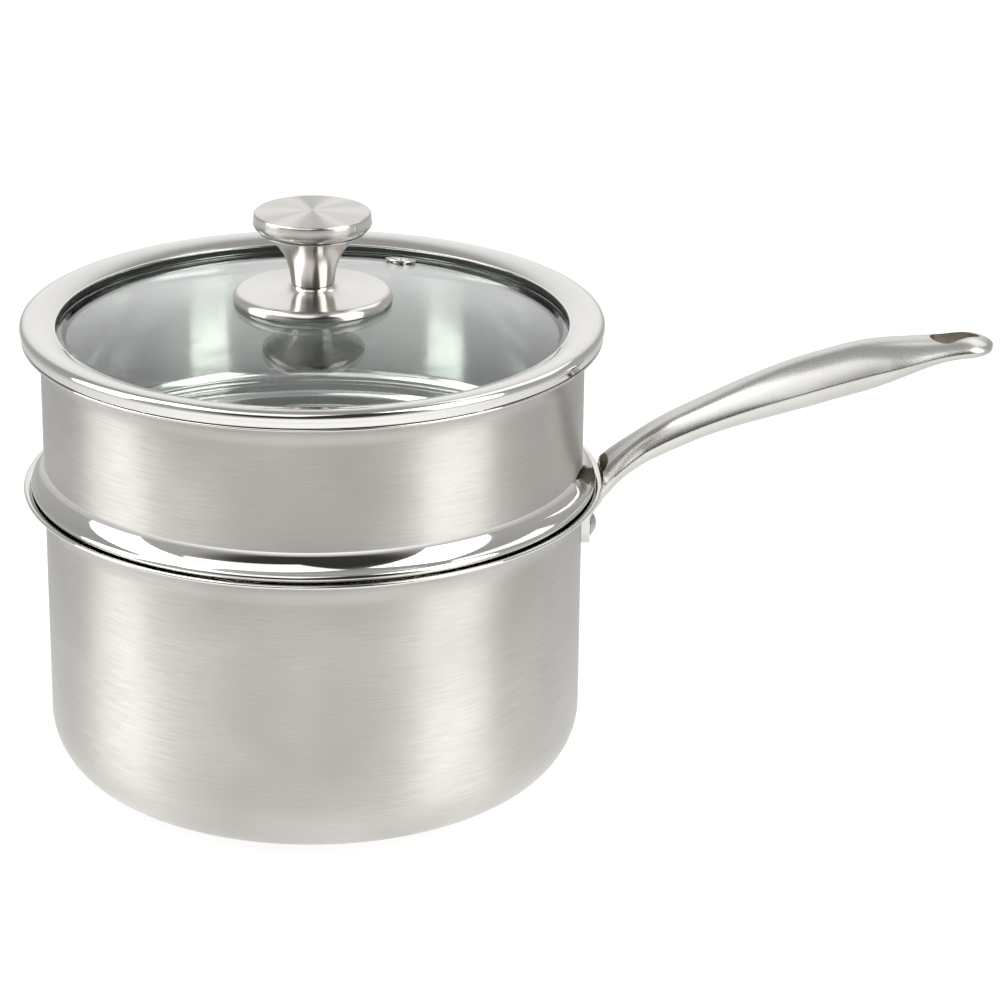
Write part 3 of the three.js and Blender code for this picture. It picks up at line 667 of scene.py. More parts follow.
@dataclass
class Saucepan:
    """Pan body with its flared lip, and the rivet through its wall."""

    bore: float = 200.0
    wall: float = 2.3
    height: float = 115.0
    corner: float = 23.6
    lip_reach: float = 7.4
    lip_angle: float = 75.0
    lip_edge: float = 1.5
    edge_share: float = 0.06
    base_rings: tuple[float, ...] = (30.0, 60.0)
    wall_rings: tuple[float, ...] = (60.0, 40.0, 20.0, 6.0)
    inward_limit: float = 0.2
    rivet_head: float = 5.0
    rivet_shank: float = 2.5
    rivet_outer: float = 2.4
    rivet_inner: float = 1.8
    rivet_neck: float = 4.2
    rivet_lead: float = 0.6
    gap: float = 0.3
    fit: float = 0.08

    def __post_init__(self) -> None:
        """Works out what other pieces fit to."""
        turn = math.radians(self.lip_angle)
        self.radius = self.bore / 2 + self.wall
        self.middle = self.bore / 2 + self.wall / 2
        self.lip_bend = self.lip_reach / (1 - math.cos(turn)) + self.wall / 2
        self.lip_start = self.height - (self.wall / 2 + self.lip_bend) * math.sin(turn)
        self.lip_centre = (self.middle + self.lip_bend, self.lip_start)
        self.lip_radius = self.radius + self.lip_reach

    def path(self) -> list[Point]:
        """Middle of the sheet, from the centre of the base to the edge of the lip.

        Returns:
            Its points.
        """
        bend = self.corner - self.wall / 2
        return [
            (0.0, self.wall / 2),
            *[(radius, self.wall / 2) for radius in self.base_rings],
            *arc((self.middle - bend, self.wall / 2 + bend), bend, -90, 0, 16),
            *[(self.middle, self.lip_start - drop) for drop in self.wall_rings],
            *arc(self.lip_centre, self.lip_bend, 180, 180 - self.lip_angle, 16),
        ]

    def thickness(self, share: float) -> float:
        """Sheet thickness, thinned towards the buffed edge of the lip."""
        thin = max(0.0, 1 - max(0.0, 1 - share) / self.edge_share)
        return self.wall + (self.lip_edge - self.wall) * thin

    def envelope(self) -> bpy.types.Object:
        """Everything within the pan's outer face, widened by the fit of what touches it.

        Returns:
            A solid that carves other pieces to the pan.
        """
        outside = sheet(self.path(), lambda share: self.thickness(share) + 2 * self.fit)
        wall = outside[:len(outside) // 2]
        ceiling = 2 * self.height
        return lathe("pan_envelope", [*wall, (wall[-1][0], ceiling), (0.0, ceiling)])

    def build(self, shop: Workshop) -> None:
        """Builds and dresses the pan body and its rivet.

        Args:
            shop: workshop that dresses and fits the pieces.
        """
        body = lathe("saucepan_body_fine", sheet(self.path(), self.thickness))
        shop.dress(body, [BRUSHED_SHEET, BUFFED_SHEET, DRAWN_INSIDE], self.finish_at)
        shop.fit(body, Body.PAN, "saucepan_body", Slot.BRUSHED)
        rivet = self.rivet()
        shop.dress(rivet, [TUMBLED_RIVET])
        shop.fit(rivet, Body.PAN, "handle_rivet", Slot.POLISHED)

    def finish_at(self, point: Vector, normal: Vector) -> int:
        """Which finish a face of the pan has.

        Args:
            point: face centre.
            normal: direction that the face looks.

        Returns:
            1 on the edge of the lip, 2 inside, 0 elsewhere.
        """
        if math.hypot(point.x, point.y) > self.lip_radius - self.lip_edge:
            return 1
        return 2 if normal.z - outward(point, normal) > self.inward_limit else 0

    def rivet_crown(self, height: float) -> list[Point]:
        """Crown of a rivet head.

        Args:
            height: height of the head.

        Returns:
            The points from the edge to the top, above the foot of the head.
        """
        bend = (self.rivet_head ** 2 + height ** 2) / (2 * height)
        half = math.degrees(math.asin(self.rivet_head / bend))
        return arc((0.0, height - bend), bend, 90 - half, 90, 10)

    def rivet(self) -> bpy.types.Object:
        """Rivet with a domed head outside and a flatter one inside, turned along X.

        Returns:
            The rivet in its place through the wall.
        """
        inner = low("handle_rivet").x + self.rivet_inner
        outer = high("handle_rivet").x - self.rivet_outer
        lead = outer - self.rivet_lead
        top = [(r, outer + z) for r, z in self.rivet_crown(self.rivet_outer)]
        bottom = [(r, inner - z) for r, z in self.rivet_crown(self.rivet_inner)]
        shank = [(self.rivet_shank, inner), (self.rivet_shank, lead)]
        neck = [(self.rivet_neck, lead), (self.rivet_neck, outer)]
        piece = lathe("handle_rivet_fine", [*bottom[::-1], *shank, *neck, *top], SMALL_ROUND)
        height = (low("handle_rivet").z + high("handle_rivet").z) / 2
        lift = Matrix.Translation((0, 0, height * MM))
        piece.data.transform(lift @ Matrix.Rotation(math.pi / 2, 4, "Y"))
        return piece


# Handle

@dataclass
class Handle:
    """Cast handle: pad on the wall, fork under the lip, grip, and a tail with a hanging slot.

    Places along the handle, such as grip_from, are shares of the length of its centre line.
    """

    pan: Saucepan
    reach: float = 155.8
    rise: float = 51.1
    root_out: float = 0.4
    root_rise: float = -0.6
    root_angle: float = 53.8
    strap_angle: float = 72.0
    strap_pull: float = 7.0
    root_pull: float = 27.1
    tip_pull: float = 31.0
    tip_angle: float = -3.6
    root_width: float = 27.0
    root_crown: float = 5.0
    root_keel: float = 5.3
    neck_crown: float = 7.6
    neck_keel: float = 6.5
    neck_width: float = 19.2
    grip_width: float = 26.0
    grip_crown: float = 9.5
    grip_keel: float = 8.95
    tail_width: float = 20.0
    tail_crown: float = 4.7
    nose_crown: float = 3.4
    tail_keel: float = 3.8
    strap_half: float = 2.25
    link_crown: float = 3.75
    link_keel: float = 4.4
    strap_lap: float = 1.5
    crown_power: float = 2.3
    keel_power: float = 2.2
    neck_crease: float = 0.9
    tail_crease: float = 0.72
    dish: float = 2.4
    ridge: float = 0.8
    neck_run: float = 0.12
    neck_at: float = 0.3
    grip_from: float = 0.6
    grip_to: float = 0.69
    wide_from: float = 0.62
    wide_to: float = 0.76
    tail_from: float = 0.92
    dish_to: float = 0.65
    crease_run: float = 0.04
    crease_to: float = 0.4
    plain_from: float = 0.58
    nose_blunt: float = 0.01
    nose_crown_left: float = 0.15
    nose_keel_left: float = 0.35
    fork_gap: float = 17.2
    fork_bow: float = 0.85
    fork_base: float = 0.4
    fork_length: float = 2.7
    slot_length: float = 19.0
    slot_width: float = 12.0
    slot_tip: float = 1.6
    slot_margin: float = 5.2
    pad_width: float = 24.0
    pad_thickness: float = 3.0
    pad_drop: float = 12.5
    pad_height: float = 14.0
    pad_corner: float = 8.0
    pad_spare: float = 5.0
    raw_shade_margin: float = 0.3
    curve_steps: int = 200
    points: int = 72
    stations: int = 160

    def curve(self) -> tuple[list[Point], float]:
        """Centre line from the pad to the tip.

        Returns:
            Its points (x, z), close together, and the share of its length where it passes the lip.
        """
        face = self.pan.radius + self.pan.gap
        foot = (face + self.pad_thickness / 2, self.pan.height - self.pad_drop - self.strap_lap)
        root = (self.pan.lip_radius + self.root_out, self.pan.height + self.root_rise)
        tip = (self.pan.radius + self.reach, self.pan.height + self.rise)
        strap = bezier([foot, pulled(foot, self.strap_angle, self.strap_pull),
                        pulled(root, self.root_angle, -self.strap_pull), root], self.curve_steps)
        arm = bezier([root, pulled(root, self.root_angle, self.root_pull),
                      pulled(tip, self.tip_angle, -self.tip_pull), tip], self.curve_steps)
        whole = strap + arm[1:]
        return whole, self.length(strap) / self.length(whole)

    @staticmethod
    def length(line: Sequence[Point]) -> float:
        """Length of a line of points."""
        return sum(math.dist(a, b) for a, b in zip(line, line[1:]))

    @staticmethod
    def glide(stations: Sequence[Point], share: float) -> float:
        """Size at a place along the handle, eased between the sizes given at stations.

        Args:
            stations: (share of the length, size) of each station, in order.
            share: share of the length.

        Returns:
            The size there.
        """
        for (place, size), (after, following) in zip(stations, stations[1:]):
            if share <= after:
                t = (share - place) / (after - place)
                return size + (following - size) * t * t * (3 - 2 * t)
        return stations[-1][1]

    def section(self, width: float, crown: float, keel: float, dish: float, crease: float) -> list[Point]:
        """Cross-section (side, up): a crown with a dish along it, a crease at its sides and a full keel.

        Args:
            width: width between the creases.
            crown: height above the creases.
            keel: depth below them.
            dish: depth of the dish along the crown.
            crease: 1 for a plain crease at the sides, less for one that is rolled under.

        Returns:
            The points round the section.
        """
        points = []
        for i in range(self.points):
            angle = 2 * math.pi * i / self.points
            side = math.cos(angle)
            up = math.sin(angle)
            if up >= 0:
                hollow = max(0.0, 1 - (side / self.ridge) ** 2) ** 2
                full = max(0.0, 1 - abs(side) ** self.crown_power) ** crease
                points.append((side * width / 2, crown * full - dish * hollow))
                continue
            across = math.copysign(abs(side) ** (2 / self.keel_power), side)
            points.append((across * width / 2, -keel * abs(up) ** (2 / self.keel_power)))
        return points

    def rings(self) -> list[list[Place]]:
        """Cross-sections along the centre line, from the pad to the tip.

        Returns:
            The points of each section.
        """
        line, fork = self.curve()
        length = self.length(line)
        widths = [(0, self.pad_width), (fork, self.root_width), (fork + self.neck_run, self.neck_width),
                  (self.wide_from, self.grip_width), (self.wide_to, self.grip_width),
                  (self.tail_from, self.tail_width), (1, self.tail_width)]
        places = [0, fork / 2, fork, self.neck_at, self.grip_from, self.grip_to, self.tail_from, 1]
        crowns = list(zip(places, [self.strap_half, self.link_crown, self.root_crown, self.neck_crown,
                                   self.grip_crown, self.grip_crown, self.tail_crown, self.nose_crown]))
        keels = list(zip(places, [self.strap_half, self.link_keel, self.root_keel, self.neck_keel,
                                  self.grip_keel, self.grip_keel, self.tail_keel, self.tail_keel]))
        dishes = [(0, 0), (fork / 2, self.dish / 2), (fork, self.dish), (self.dish_to, 0), (1, 0)]
        creases = [(0, 1), (fork + self.crease_run, self.neck_crease), (self.crease_to, self.neck_crease),
                   (self.plain_from, 1), (self.wide_to, 1), (self.tail_from, self.tail_crease),
                   (1, self.tail_crease)]
        nose = self.tail_width / 2 / length
        rings = []
        for i in range(self.stations + 1):
            share = min(i / self.stations, 1 - nose * self.nose_blunt)
            place, along = self.at(line, share * length)
            late = max(0.0, 1 - (1 - share) / nose)
            taper = math.sqrt(1 - late * late)
            crown_left = self.nose_crown_left + (1 - self.nose_crown_left) * taper
            keel_left = self.nose_keel_left + (1 - self.nose_keel_left) * taper
            section = self.section(self.glide(widths, share) * taper, self.glide(crowns, share) * crown_left,
                                   self.glide(keels, share) * keel_left, self.glide(dishes, share),
                                   self.glide(creases, share))
            rings.append([(place.x - along.y * up, side, place.y + along.x * up) for side, up in section])
        return rings

    @staticmethod
    def at(line: Sequence[Point], distance: float) -> tuple[Vector, Vector]:
        """Point and direction at a distance along a line.

        Args:
            line: points of the line.
            distance: distance from its first point.

        Returns:
            The point and the direction there.
        """
        for a, b in zip(line, line[1:]):
            step = math.dist(a, b)
            along = (Vector(b) - Vector(a)).normalized()
            if distance <= step:
                break
            distance -= step
        return Vector(a) + along * distance, along

    def pad(self) -> bpy.types.Object:
        """Pad bent to the wall, with round lower corners.

        Returns:
            The pad in its place.
        """
        face = self.pan.radius + self.pan.gap
        top = self.pan.height - self.pad_drop
        bottom = top - self.pad_height
        half = self.pad_width / 2
        inside = self.pan.bore / 2
        outside = face + self.pad_thickness
        over = top + self.pad_spare
        under = bottom - self.pad_spare
        ring = lathe("pad_ring", [(inside, under), (outside, under), (outside, over), (inside, over)])
        corner = self.pad_corner
        outline = [
            (half, top), (-half, top),
            *arc((-half + corner, bottom + corner), corner, 180, 270),
            *arc((half - corner, bottom + corner), corner, 270, 360),
        ]
        block = prism("pad_block", outline, self.pan.radius / 2, self.pan.radius * 1.5)
        to_wall = Matrix(((0, 0, 1, 0), (1, 0, 0, 0), (0, 1, 0, 0), (0, 0, 0, 1)))
        block.data.transform(to_wall)
        combine(ring, block, Cut.KEEP)
        return ring

    def fork(self) -> bpy.types.Object:
        """Opening between the prongs: flat at the pan, with a low arch towards the grip.

        Returns:
            A solid that carves the opening.
        """
        arch_share = 0.75
        base = self.pan.lip_radius + self.fork_base
        tip = base + (self.fork_length - self.fork_base) / arch_share
        half = self.fork_gap / 2
        bow = half * self.fork_bow
        arch = bezier([(base, -half), (tip, -bow), (tip, bow), (base, half)])
        outline = [(self.pan.radius, -half), *arch, (self.pan.radius, half)]
        floor = self.pan.height - self.pad_drop - self.strap_lap / 2
        return prism("fork_cutter", outline, floor, self.pan.height + self.rise)

    def slot_outline(self) -> list[Point]:
        """Hanging slot seen from above: a drop that narrows towards the tip.

        Returns:
            The points (x, y) round the slot.
        """
        tip = self.pan.radius + self.reach - self.slot_margin
        wide = tip - self.slot_length + self.slot_width / 2
        narrow = tip - self.slot_tip
        lean = math.degrees(math.acos((self.slot_width / 2 - self.slot_tip) / (narrow - wide)))
        return [*arc((wide, 0.0), self.slot_width / 2, lean, 360 - lean, 32),
                *arc((narrow, 0.0), self.slot_tip, -lean, lean, 12)]

    def raw_and_shaded(self, point: Vector, normal: Vector) -> int:
        """Whether a face lies in the slot or the fork's opening, where the casting is left raw and its
        darker colour is painted shade.

        Args:
            point: face centre.
            normal: direction that the face looks.

        Returns:
            1 on the inner walls of the two openings, 0 elsewhere.
        """
        facing = 0.5
        level = 0.6
        square_on = 0.8
        margin = self.raw_shade_margin
        inward = -normal.y * point.y > facing * abs(point.y)
        slot = [x for x, _ in self.slot_outline()]
        if min(slot) - margin < point.x < max(slot) + margin:
            inset = (min(slot) + max(slot)) / 2 - point.x
            ends = normal.x * inset > facing * abs(inset)
            within = abs(point.y) < self.slot_width / 2 + margin
            return int(within and (inward or ends) and abs(normal.z) < level)
        before = point.x < self.pan.lip_radius + self.fork_length + margin
        within = abs(point.y) < self.fork_gap / 2 + margin
        return int(before and within and (inward or normal.x < -square_on))

    def build(self, shop: Workshop) -> None:
        """Builds the casting, cuts its openings and dresses it.

        Args:
            shop: workshop that dresses and fits the casting.
        """
        body = loft("handle_fine", self.rings())
        combine(body, self.fork(), Cut.CARVE)
        combine(body, self.pad(), Cut.JOIN)
        combine(body, self.pan.envelope(), Cut.CARVE)
        tip = self.pan.height + self.rise
        combine(body, prism("slot_cutter", self.slot_outline(), self.pan.height, 2 * tip), Cut.CARVE)
        smooth(body)
        # The walls of the slot and the fork get the raw finish, whose darker brownish colour is painted
        # shade
        shop.dress(body, [CAST_SATIN, CAST_RAW_PAINTED_SHADE], self.raw_and_shaded)
        shop.fit(body, Body.PAN, "handle", Slot.CAST)


# Steamer insert

@dataclass
class Steamer:
    """Insert: wall flush with the pan's, shoulder that folds into the pan's mouth, sunk perforated floor."""

    pan: Saucepan
    thick: float = 1.0
    rise: float = 58.3
    lip_reach: float = 6.4
    seat_low: float = 41.0
    seat_high: float = 62.0
    bead: float = 1.2
    tilt: float = 150.0
    floor_bend: float = 3.0
    panel_inset: float = 9.0
    panel_drop: float = 1.4
    hole: float = 5.0
    ring_step: float = 15.0
    spacing: float = 18.85
    margin: float = 8.0
    burr: float = 0.35
    punch_spare: float = 2.0
    panel_rings: tuple[float, ...] = (0.3, 0.6, 0.9)
    panel_edge: float = 0.95
    wall_rings: tuple[float, ...] = (135.0, 145.0, 155.0)
    brush_low: float = 9.6

    def __post_init__(self) -> None:
        """Works out the seat, the floor and the lip."""
        pan = self.pan
        turn = math.radians(pan.lip_angle)
        self.middle = pan.radius - self.thick / 2
        self.top = pan.height + self.rise
        self.lip_bend = self.lip_reach / (1 - math.cos(turn)) + self.thick / 2
        self.lip_foot = self.top - (self.lip_bend + self.thick / 2) * math.sin(turn)
        self.lip_radius = pan.radius + self.lip_reach
        self.seat_bend = pan.lip_bend + pan.wall / 2 + pan.gap + self.thick / 2
        foot = pulled(pan.lip_centre, 180 - self.seat_low, self.seat_bend)
        self.bend_centre = pulled(foot, 180 - self.seat_low, self.floor_bend)
        self.floor = self.bend_centre[1] - self.floor_bend
        self.panel_radius = self.bend_centre[0] - self.panel_inset

    def path(self) -> list[Point]:
        """Middle of the sheet, from the centre of the panel to the edge of the lip.

        Returns:
            Its points.
        """
        pan = self.pan
        seat_top = pulled(pan.lip_centre, 180 - self.seat_high, self.seat_bend)
        bead_centre = pulled(seat_top, 180 - self.seat_high, self.bead)
        bead = arc(bead_centre, self.bead, -self.seat_high, self.tilt - 90, 14)
        foot = bead[-1]
        cove = (foot[0] - self.middle) / (1 - math.sin(math.radians(self.tilt)))
        cove_centre = (self.middle + cove, foot[1] - cove * math.cos(math.radians(self.tilt)))
        panel = self.floor - self.panel_drop
        ease = self.panel_drop
        return [
            (0.0, panel),
            *[(self.panel_radius * share, panel) for share in self.panel_rings],
            *rounded([(self.panel_radius * self.panel_edge, panel, 0), (self.panel_radius, panel, ease),
                      (self.panel_radius + ease, self.floor, ease),
                      (self.panel_radius + 3 * ease, self.floor, 0)]),
            *arc(self.bend_centre, self.floor_bend, -90, -self.seat_low, 8),
            *arc(pan.lip_centre, self.seat_bend, 180 - self.seat_low, 180 - self.seat_high, 8),
            *bead,
            *arc(cove_centre, cove, self.tilt + 90, 180, 14),
            *[(self.middle, height) for height in self.wall_rings],
            *arc((self.middle + self.lip_bend, self.lip_foot), self.lip_bend, 180, 180 - pan.lip_angle, 12),
        ]

    def holes(self) -> list[Point]:
        """Centres of the holes: one in the middle and rings round it.

        Returns:
            The centres (x, y).
        """
        places = [(0.0, 0.0)]
        rings = int((self.panel_radius - self.margin) / self.ring_step)
        for ring in range(1, rings + 1):
            radius = ring * self.ring_step
            count = round(2 * math.pi * radius / self.spacing)
            for i in range(count):
                angle = math.pi / 2 + 2 * math.pi * (i + 0.5) / count
                places.append((radius * math.cos(angle), radius * math.sin(angle)))
        return places

    def punch(self) -> bpy.types.Object:
        """All punches of the panel as one tool, each flared at both faces of the sheet.

        Returns:
            A solid that carves the holes.
        """
        panel = self.floor - self.panel_drop
        half = self.thick / 2
        radius = self.hole / 2
        flare = radius + 4 * self.burr
        outline = [
            (0.0, panel - self.punch_spare), (flare, panel - half - 3 * self.burr),
            (radius, panel - half + self.burr), (radius, panel + half - self.burr),
            (flare, panel + half + 3 * self.burr), (0.0, panel + self.punch_spare),
        ]
        points: list[Place] = []
        faces: list[list[int]] = []
        for x, y in self.holes():
            one = lathe("punch", outline, PUNCH_ROUND)
            start = len(points)
            points += [(v.co.x / MM + x, v.co.y / MM + y, v.co.z / MM) for v in one.data.vertices]
            faces += [[start + i for i in face.vertices] for face in one.data.polygons]
            bpy.data.objects.remove(one)
        return mesh_object("punches", points, faces)

    def build(self, shop: Workshop) -> None:
        """Builds the insert, punches its panel and dresses it.

        Args:
            shop: workshop that dresses and fits the insert.
        """
        insert = lathe("steamer_insert_fine", sheet(self.path(), lambda share: self.thick))
        combine(insert, self.punch(), Cut.CARVE)
        smooth(insert)
        shop.dress(insert, [BRUSHED_SHEET, BUFFED_SHEET, DRAWN_INSIDE], self.finish_at)
        shop.fit(insert, Body.STEAMER, "steamer_insert", Slot.BRUSHED)

    def finish_at(self, point: Vector, normal: Vector) -> int:
        """Which finish a face of the insert has, by its place alone.

        Args:
            point: face centre.
            normal: direction that the face looks; not used.

        Returns:
            1 on the shoulder and the edge of the lip, 2 inside, 0 on the wall.
        """
        radius = math.hypot(point.x, point.y)
        if radius < self.middle:
            return 2
        return int(point.z < self.pan.height + self.brush_low or radius > self.lip_radius - self.thick)


# Lid

@dataclass
class Lid:
    """Domed glass in a steel rim with a seal between them, and the steam vent."""

    steamer: Steamer
    glass: float = 4.0
    glass_hole: float = 4.2
    flat: float = 3.6
    flat_lead: float = 2.0
    flat_round: float = 2.4
    edge_round: float = 0.8
    rise: float = 12.4
    sheet: float = 0.9
    cover: float = 0.7
    rim_lift: float = 1.6
    rim_spread: float = 0.9
    rim_pulls: tuple[Point, ...] = ((4.1, 1.9), (9.1, 3.3))
    rim_brow: float = 3.0
    rim_foot: float = 0.4
    bead_width: float = 4.8
    bead_drop: float = 3.9
    bead_lower: float = 0.2
    bead_under: float = -40.0
    bead_over: float = 110.0
    slope: float = 2.2
    seal: float = 1.0
    seal_lap: float = 0.2
    seal_nip: float = 0.05
    vent_radius: float = 75.2
    vent_azimuth: float = 62.7
    vent_flange: float = 6.0
    vent_tube: float = 3.6
    vent_bore: float = 2.0
    vent_sheet: float = 0.8
    vent_mouth: float = 1.2
    vent_end: float = 0.6
    vent_inset: float = 0.8
    gap: float = 0.3

    def __post_init__(self) -> None:
        """Takes the glass and rim from the frame."""
        self.glass_radius = high("lid_glass").x
        self.seat = self.steamer.top + self.gap
        self.rim_wide = self.seat + self.bead_drop
        self.crown = self.rim_wide - self.slope - self.sheet / 2 - self.gap + self.rise
        self.foot = self.glass_radius - self.flat
        self.bend = (self.foot ** 2 + self.rise ** 2) / (2 * self.rise)
        self.rim_radius = high("lid_rim").x + self.rim_spread
        self.rim_top = self.rim_wide - self.slope + self.sheet / 2
        self.rim_edge = self.rim_top + self.rim_lift
        self.flat_top = self.rim_top - self.sheet - self.gap

    def dome(self, radius: float) -> float:
        """Height of the top of the glass at a distance from the axis."""
        return self.crown - self.bend + math.sqrt(self.bend ** 2 - radius ** 2)

    def dome_line(self, start: float, end: float, lower: float, steps: int = 40) -> list[Point]:
        """Points along the dome from one radius to another, lowered by an offset."""
        places = [start + (end - start) * i / steps for i in range(steps + 1)]
        return [(r, self.dome(r) - lower) for r in places]

    def at_vent(self, piece: bpy.types.Object) -> None:
        """Moves a piece onto the dome, at the vent.

        Args:
            piece: piece that was made upright at the origin.
        """
        tilt = Matrix.Rotation(math.asin(self.vent_radius / self.bend), 4, "Y")
        out = Matrix.Translation((self.vent_radius * MM, 0, self.dome(self.vent_radius) * MM))
        piece.data.transform(Matrix.Rotation(math.radians(self.vent_azimuth), 4, "Z") @ out @ tilt)

    def build(self, shop: Workshop) -> None:
        """Builds and dresses glass, rim, seal and vent.

        Args:
            shop: workshop that dresses and fits the pieces.
        """
        self.build_glass(shop)
        self.build_rim(shop)
        self.build_vent(shop)
        self.build_seal(shop)

    def build_seal(self, shop: Workshop) -> None:
        """Seal: silicone round the edge of the glass, with a lip over it.

        Args:
            shop: workshop that dresses and fits the seal.
        """
        bottom = self.flat_top - self.glass
        top = self.flat_top + self.seal_nip
        inside = self.glass_radius + self.gap
        outside = inside + self.seal
        over = self.rim_edge - self.sheet - self.seal_nip
        lap = self.glass_radius - self.cover + self.seal_lap
        seal = lathe("lid_seal_fine", [(inside, bottom), (outside, bottom), (outside, over),
                                       (lap, over), (lap, top), (inside, top)])
        # Nearly black seal: its dark line round the glass is partly painted shade of the gap
        shop.dress(seal, [DARK_SILICONE_PAINTED_SHADE])
        shop.fit(seal, Body.LID, "lid_seal", Slot.SILICONE)

    def build_glass(self, shop: Workshop) -> None:
        """Glass: a dome with a flat rim, drilled at the vent.

        Args:
            shop: workshop that dresses and fits the glass.
        """
        top = self.flat_top
        bottom = top - self.glass
        lead = self.foot - self.flat_lead
        glass = lathe("lid_glass_fine", [
            *self.dome_line(self.glass_hole, lead, 0),
            *rounded([(lead, self.dome(lead), 0), (self.foot, top, self.flat_round),
                      (self.glass_radius, top, self.edge_round),
                      (self.glass_radius, bottom, self.edge_round), (self.foot, bottom, self.flat_round),
                      (lead, self.dome(lead) - self.glass, 0)])[1:-1],
            *self.dome_line(lead, self.glass_hole, self.glass),
        ], LID_ROUND)
        reach = 2 * self.glass
        bore = self.vent_tube + self.gap
        drill = lathe("drill", [(0, -reach), (bore, -reach), (bore, reach), (0, reach)], SMALL_ROUND)
        self.at_vent(drill)
        combine(glass, drill, Cut.CARVE)
        shop.dress(glass, [CLEAR_GLASS])
        shop.fit(glass, Body.LID, "lid_glass", Slot.GLASS)

    def build_rim(self, shop: Workshop) -> None:
        """Rim: channel round the glass edge, a crowned top and a rolled outer edge.

        Args:
            shop: workshop that dresses and fits the rim.
        """
        inner = self.glass_radius - self.cover
        edge = self.rim_edge
        under = edge - self.sheet
        wide = self.rim_radius
        roll = self.bead_width / 2
        bead = (wide - roll, self.rim_wide - self.bead_lower)
        channel = self.glass_radius + self.seal + 2 * self.gap
        outer = channel + self.sheet
        channel_low = self.flat_top - self.glass - self.gap - self.sheet
        foot = bead[0] + roll * math.cos(math.radians(self.bead_under)) - self.sheet * self.rim_foot
        soft = self.sheet / 2
        crown = bezier([(inner + soft, edge), *[(inner + out, edge + up) for out, up in self.rim_pulls],
                        (wide, edge + self.rim_brow), (wide, bead[1])], 40)
        rim = lathe("lid_rim_fine", [
            *rounded([(channel, under, 0), (inner, under, soft), (inner, edge, soft), (*crown[0], 0)])[:-1],
            *crown[:-1],
            *arc(bead, roll, 0, self.bead_under, 10),
            *rounded([(foot + 0.3, self.seat + 0.5, 0), (foot, self.seat, soft),
                      (foot - self.sheet, self.seat, soft), (foot - self.sheet, self.seat + 1, 0)]),
            *arc(bead, roll - self.sheet, self.bead_under, self.bead_over, 12),
            (outer, under),
            *rounded([(outer, under - 1, 0), (outer, channel_low, soft), (inner, channel_low, soft),
                      (inner, channel_low + self.sheet, soft), (channel, channel_low + self.sheet, 0)]),
        ], LID_ROUND)
        shop.dress(rim, [BUFFED_SHEET])
        shop.fit(rim, Body.LID, "lid_rim", Slot.POLISHED)

    def build_vent(self, shop: Workshop) -> None:
        """Vent: an eyelet rolled over both faces of the glass.

        Args:
            shop: workshop that dresses and fits the vent.
        """
        over = self.gap
        top = over + self.vent_sheet
        under = -self.glass - self.gap
        bottom = under - self.vent_sheet
        inset = self.vent_flange - self.vent_inset
        soft = self.vent_sheet / 2
        bell = [
            (self.vent_tube, over, 0), (self.vent_flange, over, soft), (self.vent_flange, top, soft),
            (self.vent_bore, top, self.vent_mouth), (self.vent_bore, bottom, self.vent_end),
            (inset, bottom, soft), (inset, under, soft), (self.vent_tube, under, 0),
        ]
        vent = lathe("vent_grommet_fine", rounded(bell), SMALL_ROUND)
        self.at_vent(vent)
        shop.dress(vent, [BUFFED_SHEET])
        shop.fit(vent, Body.LID, "vent_grommet", Slot.POLISHED)


# Knob

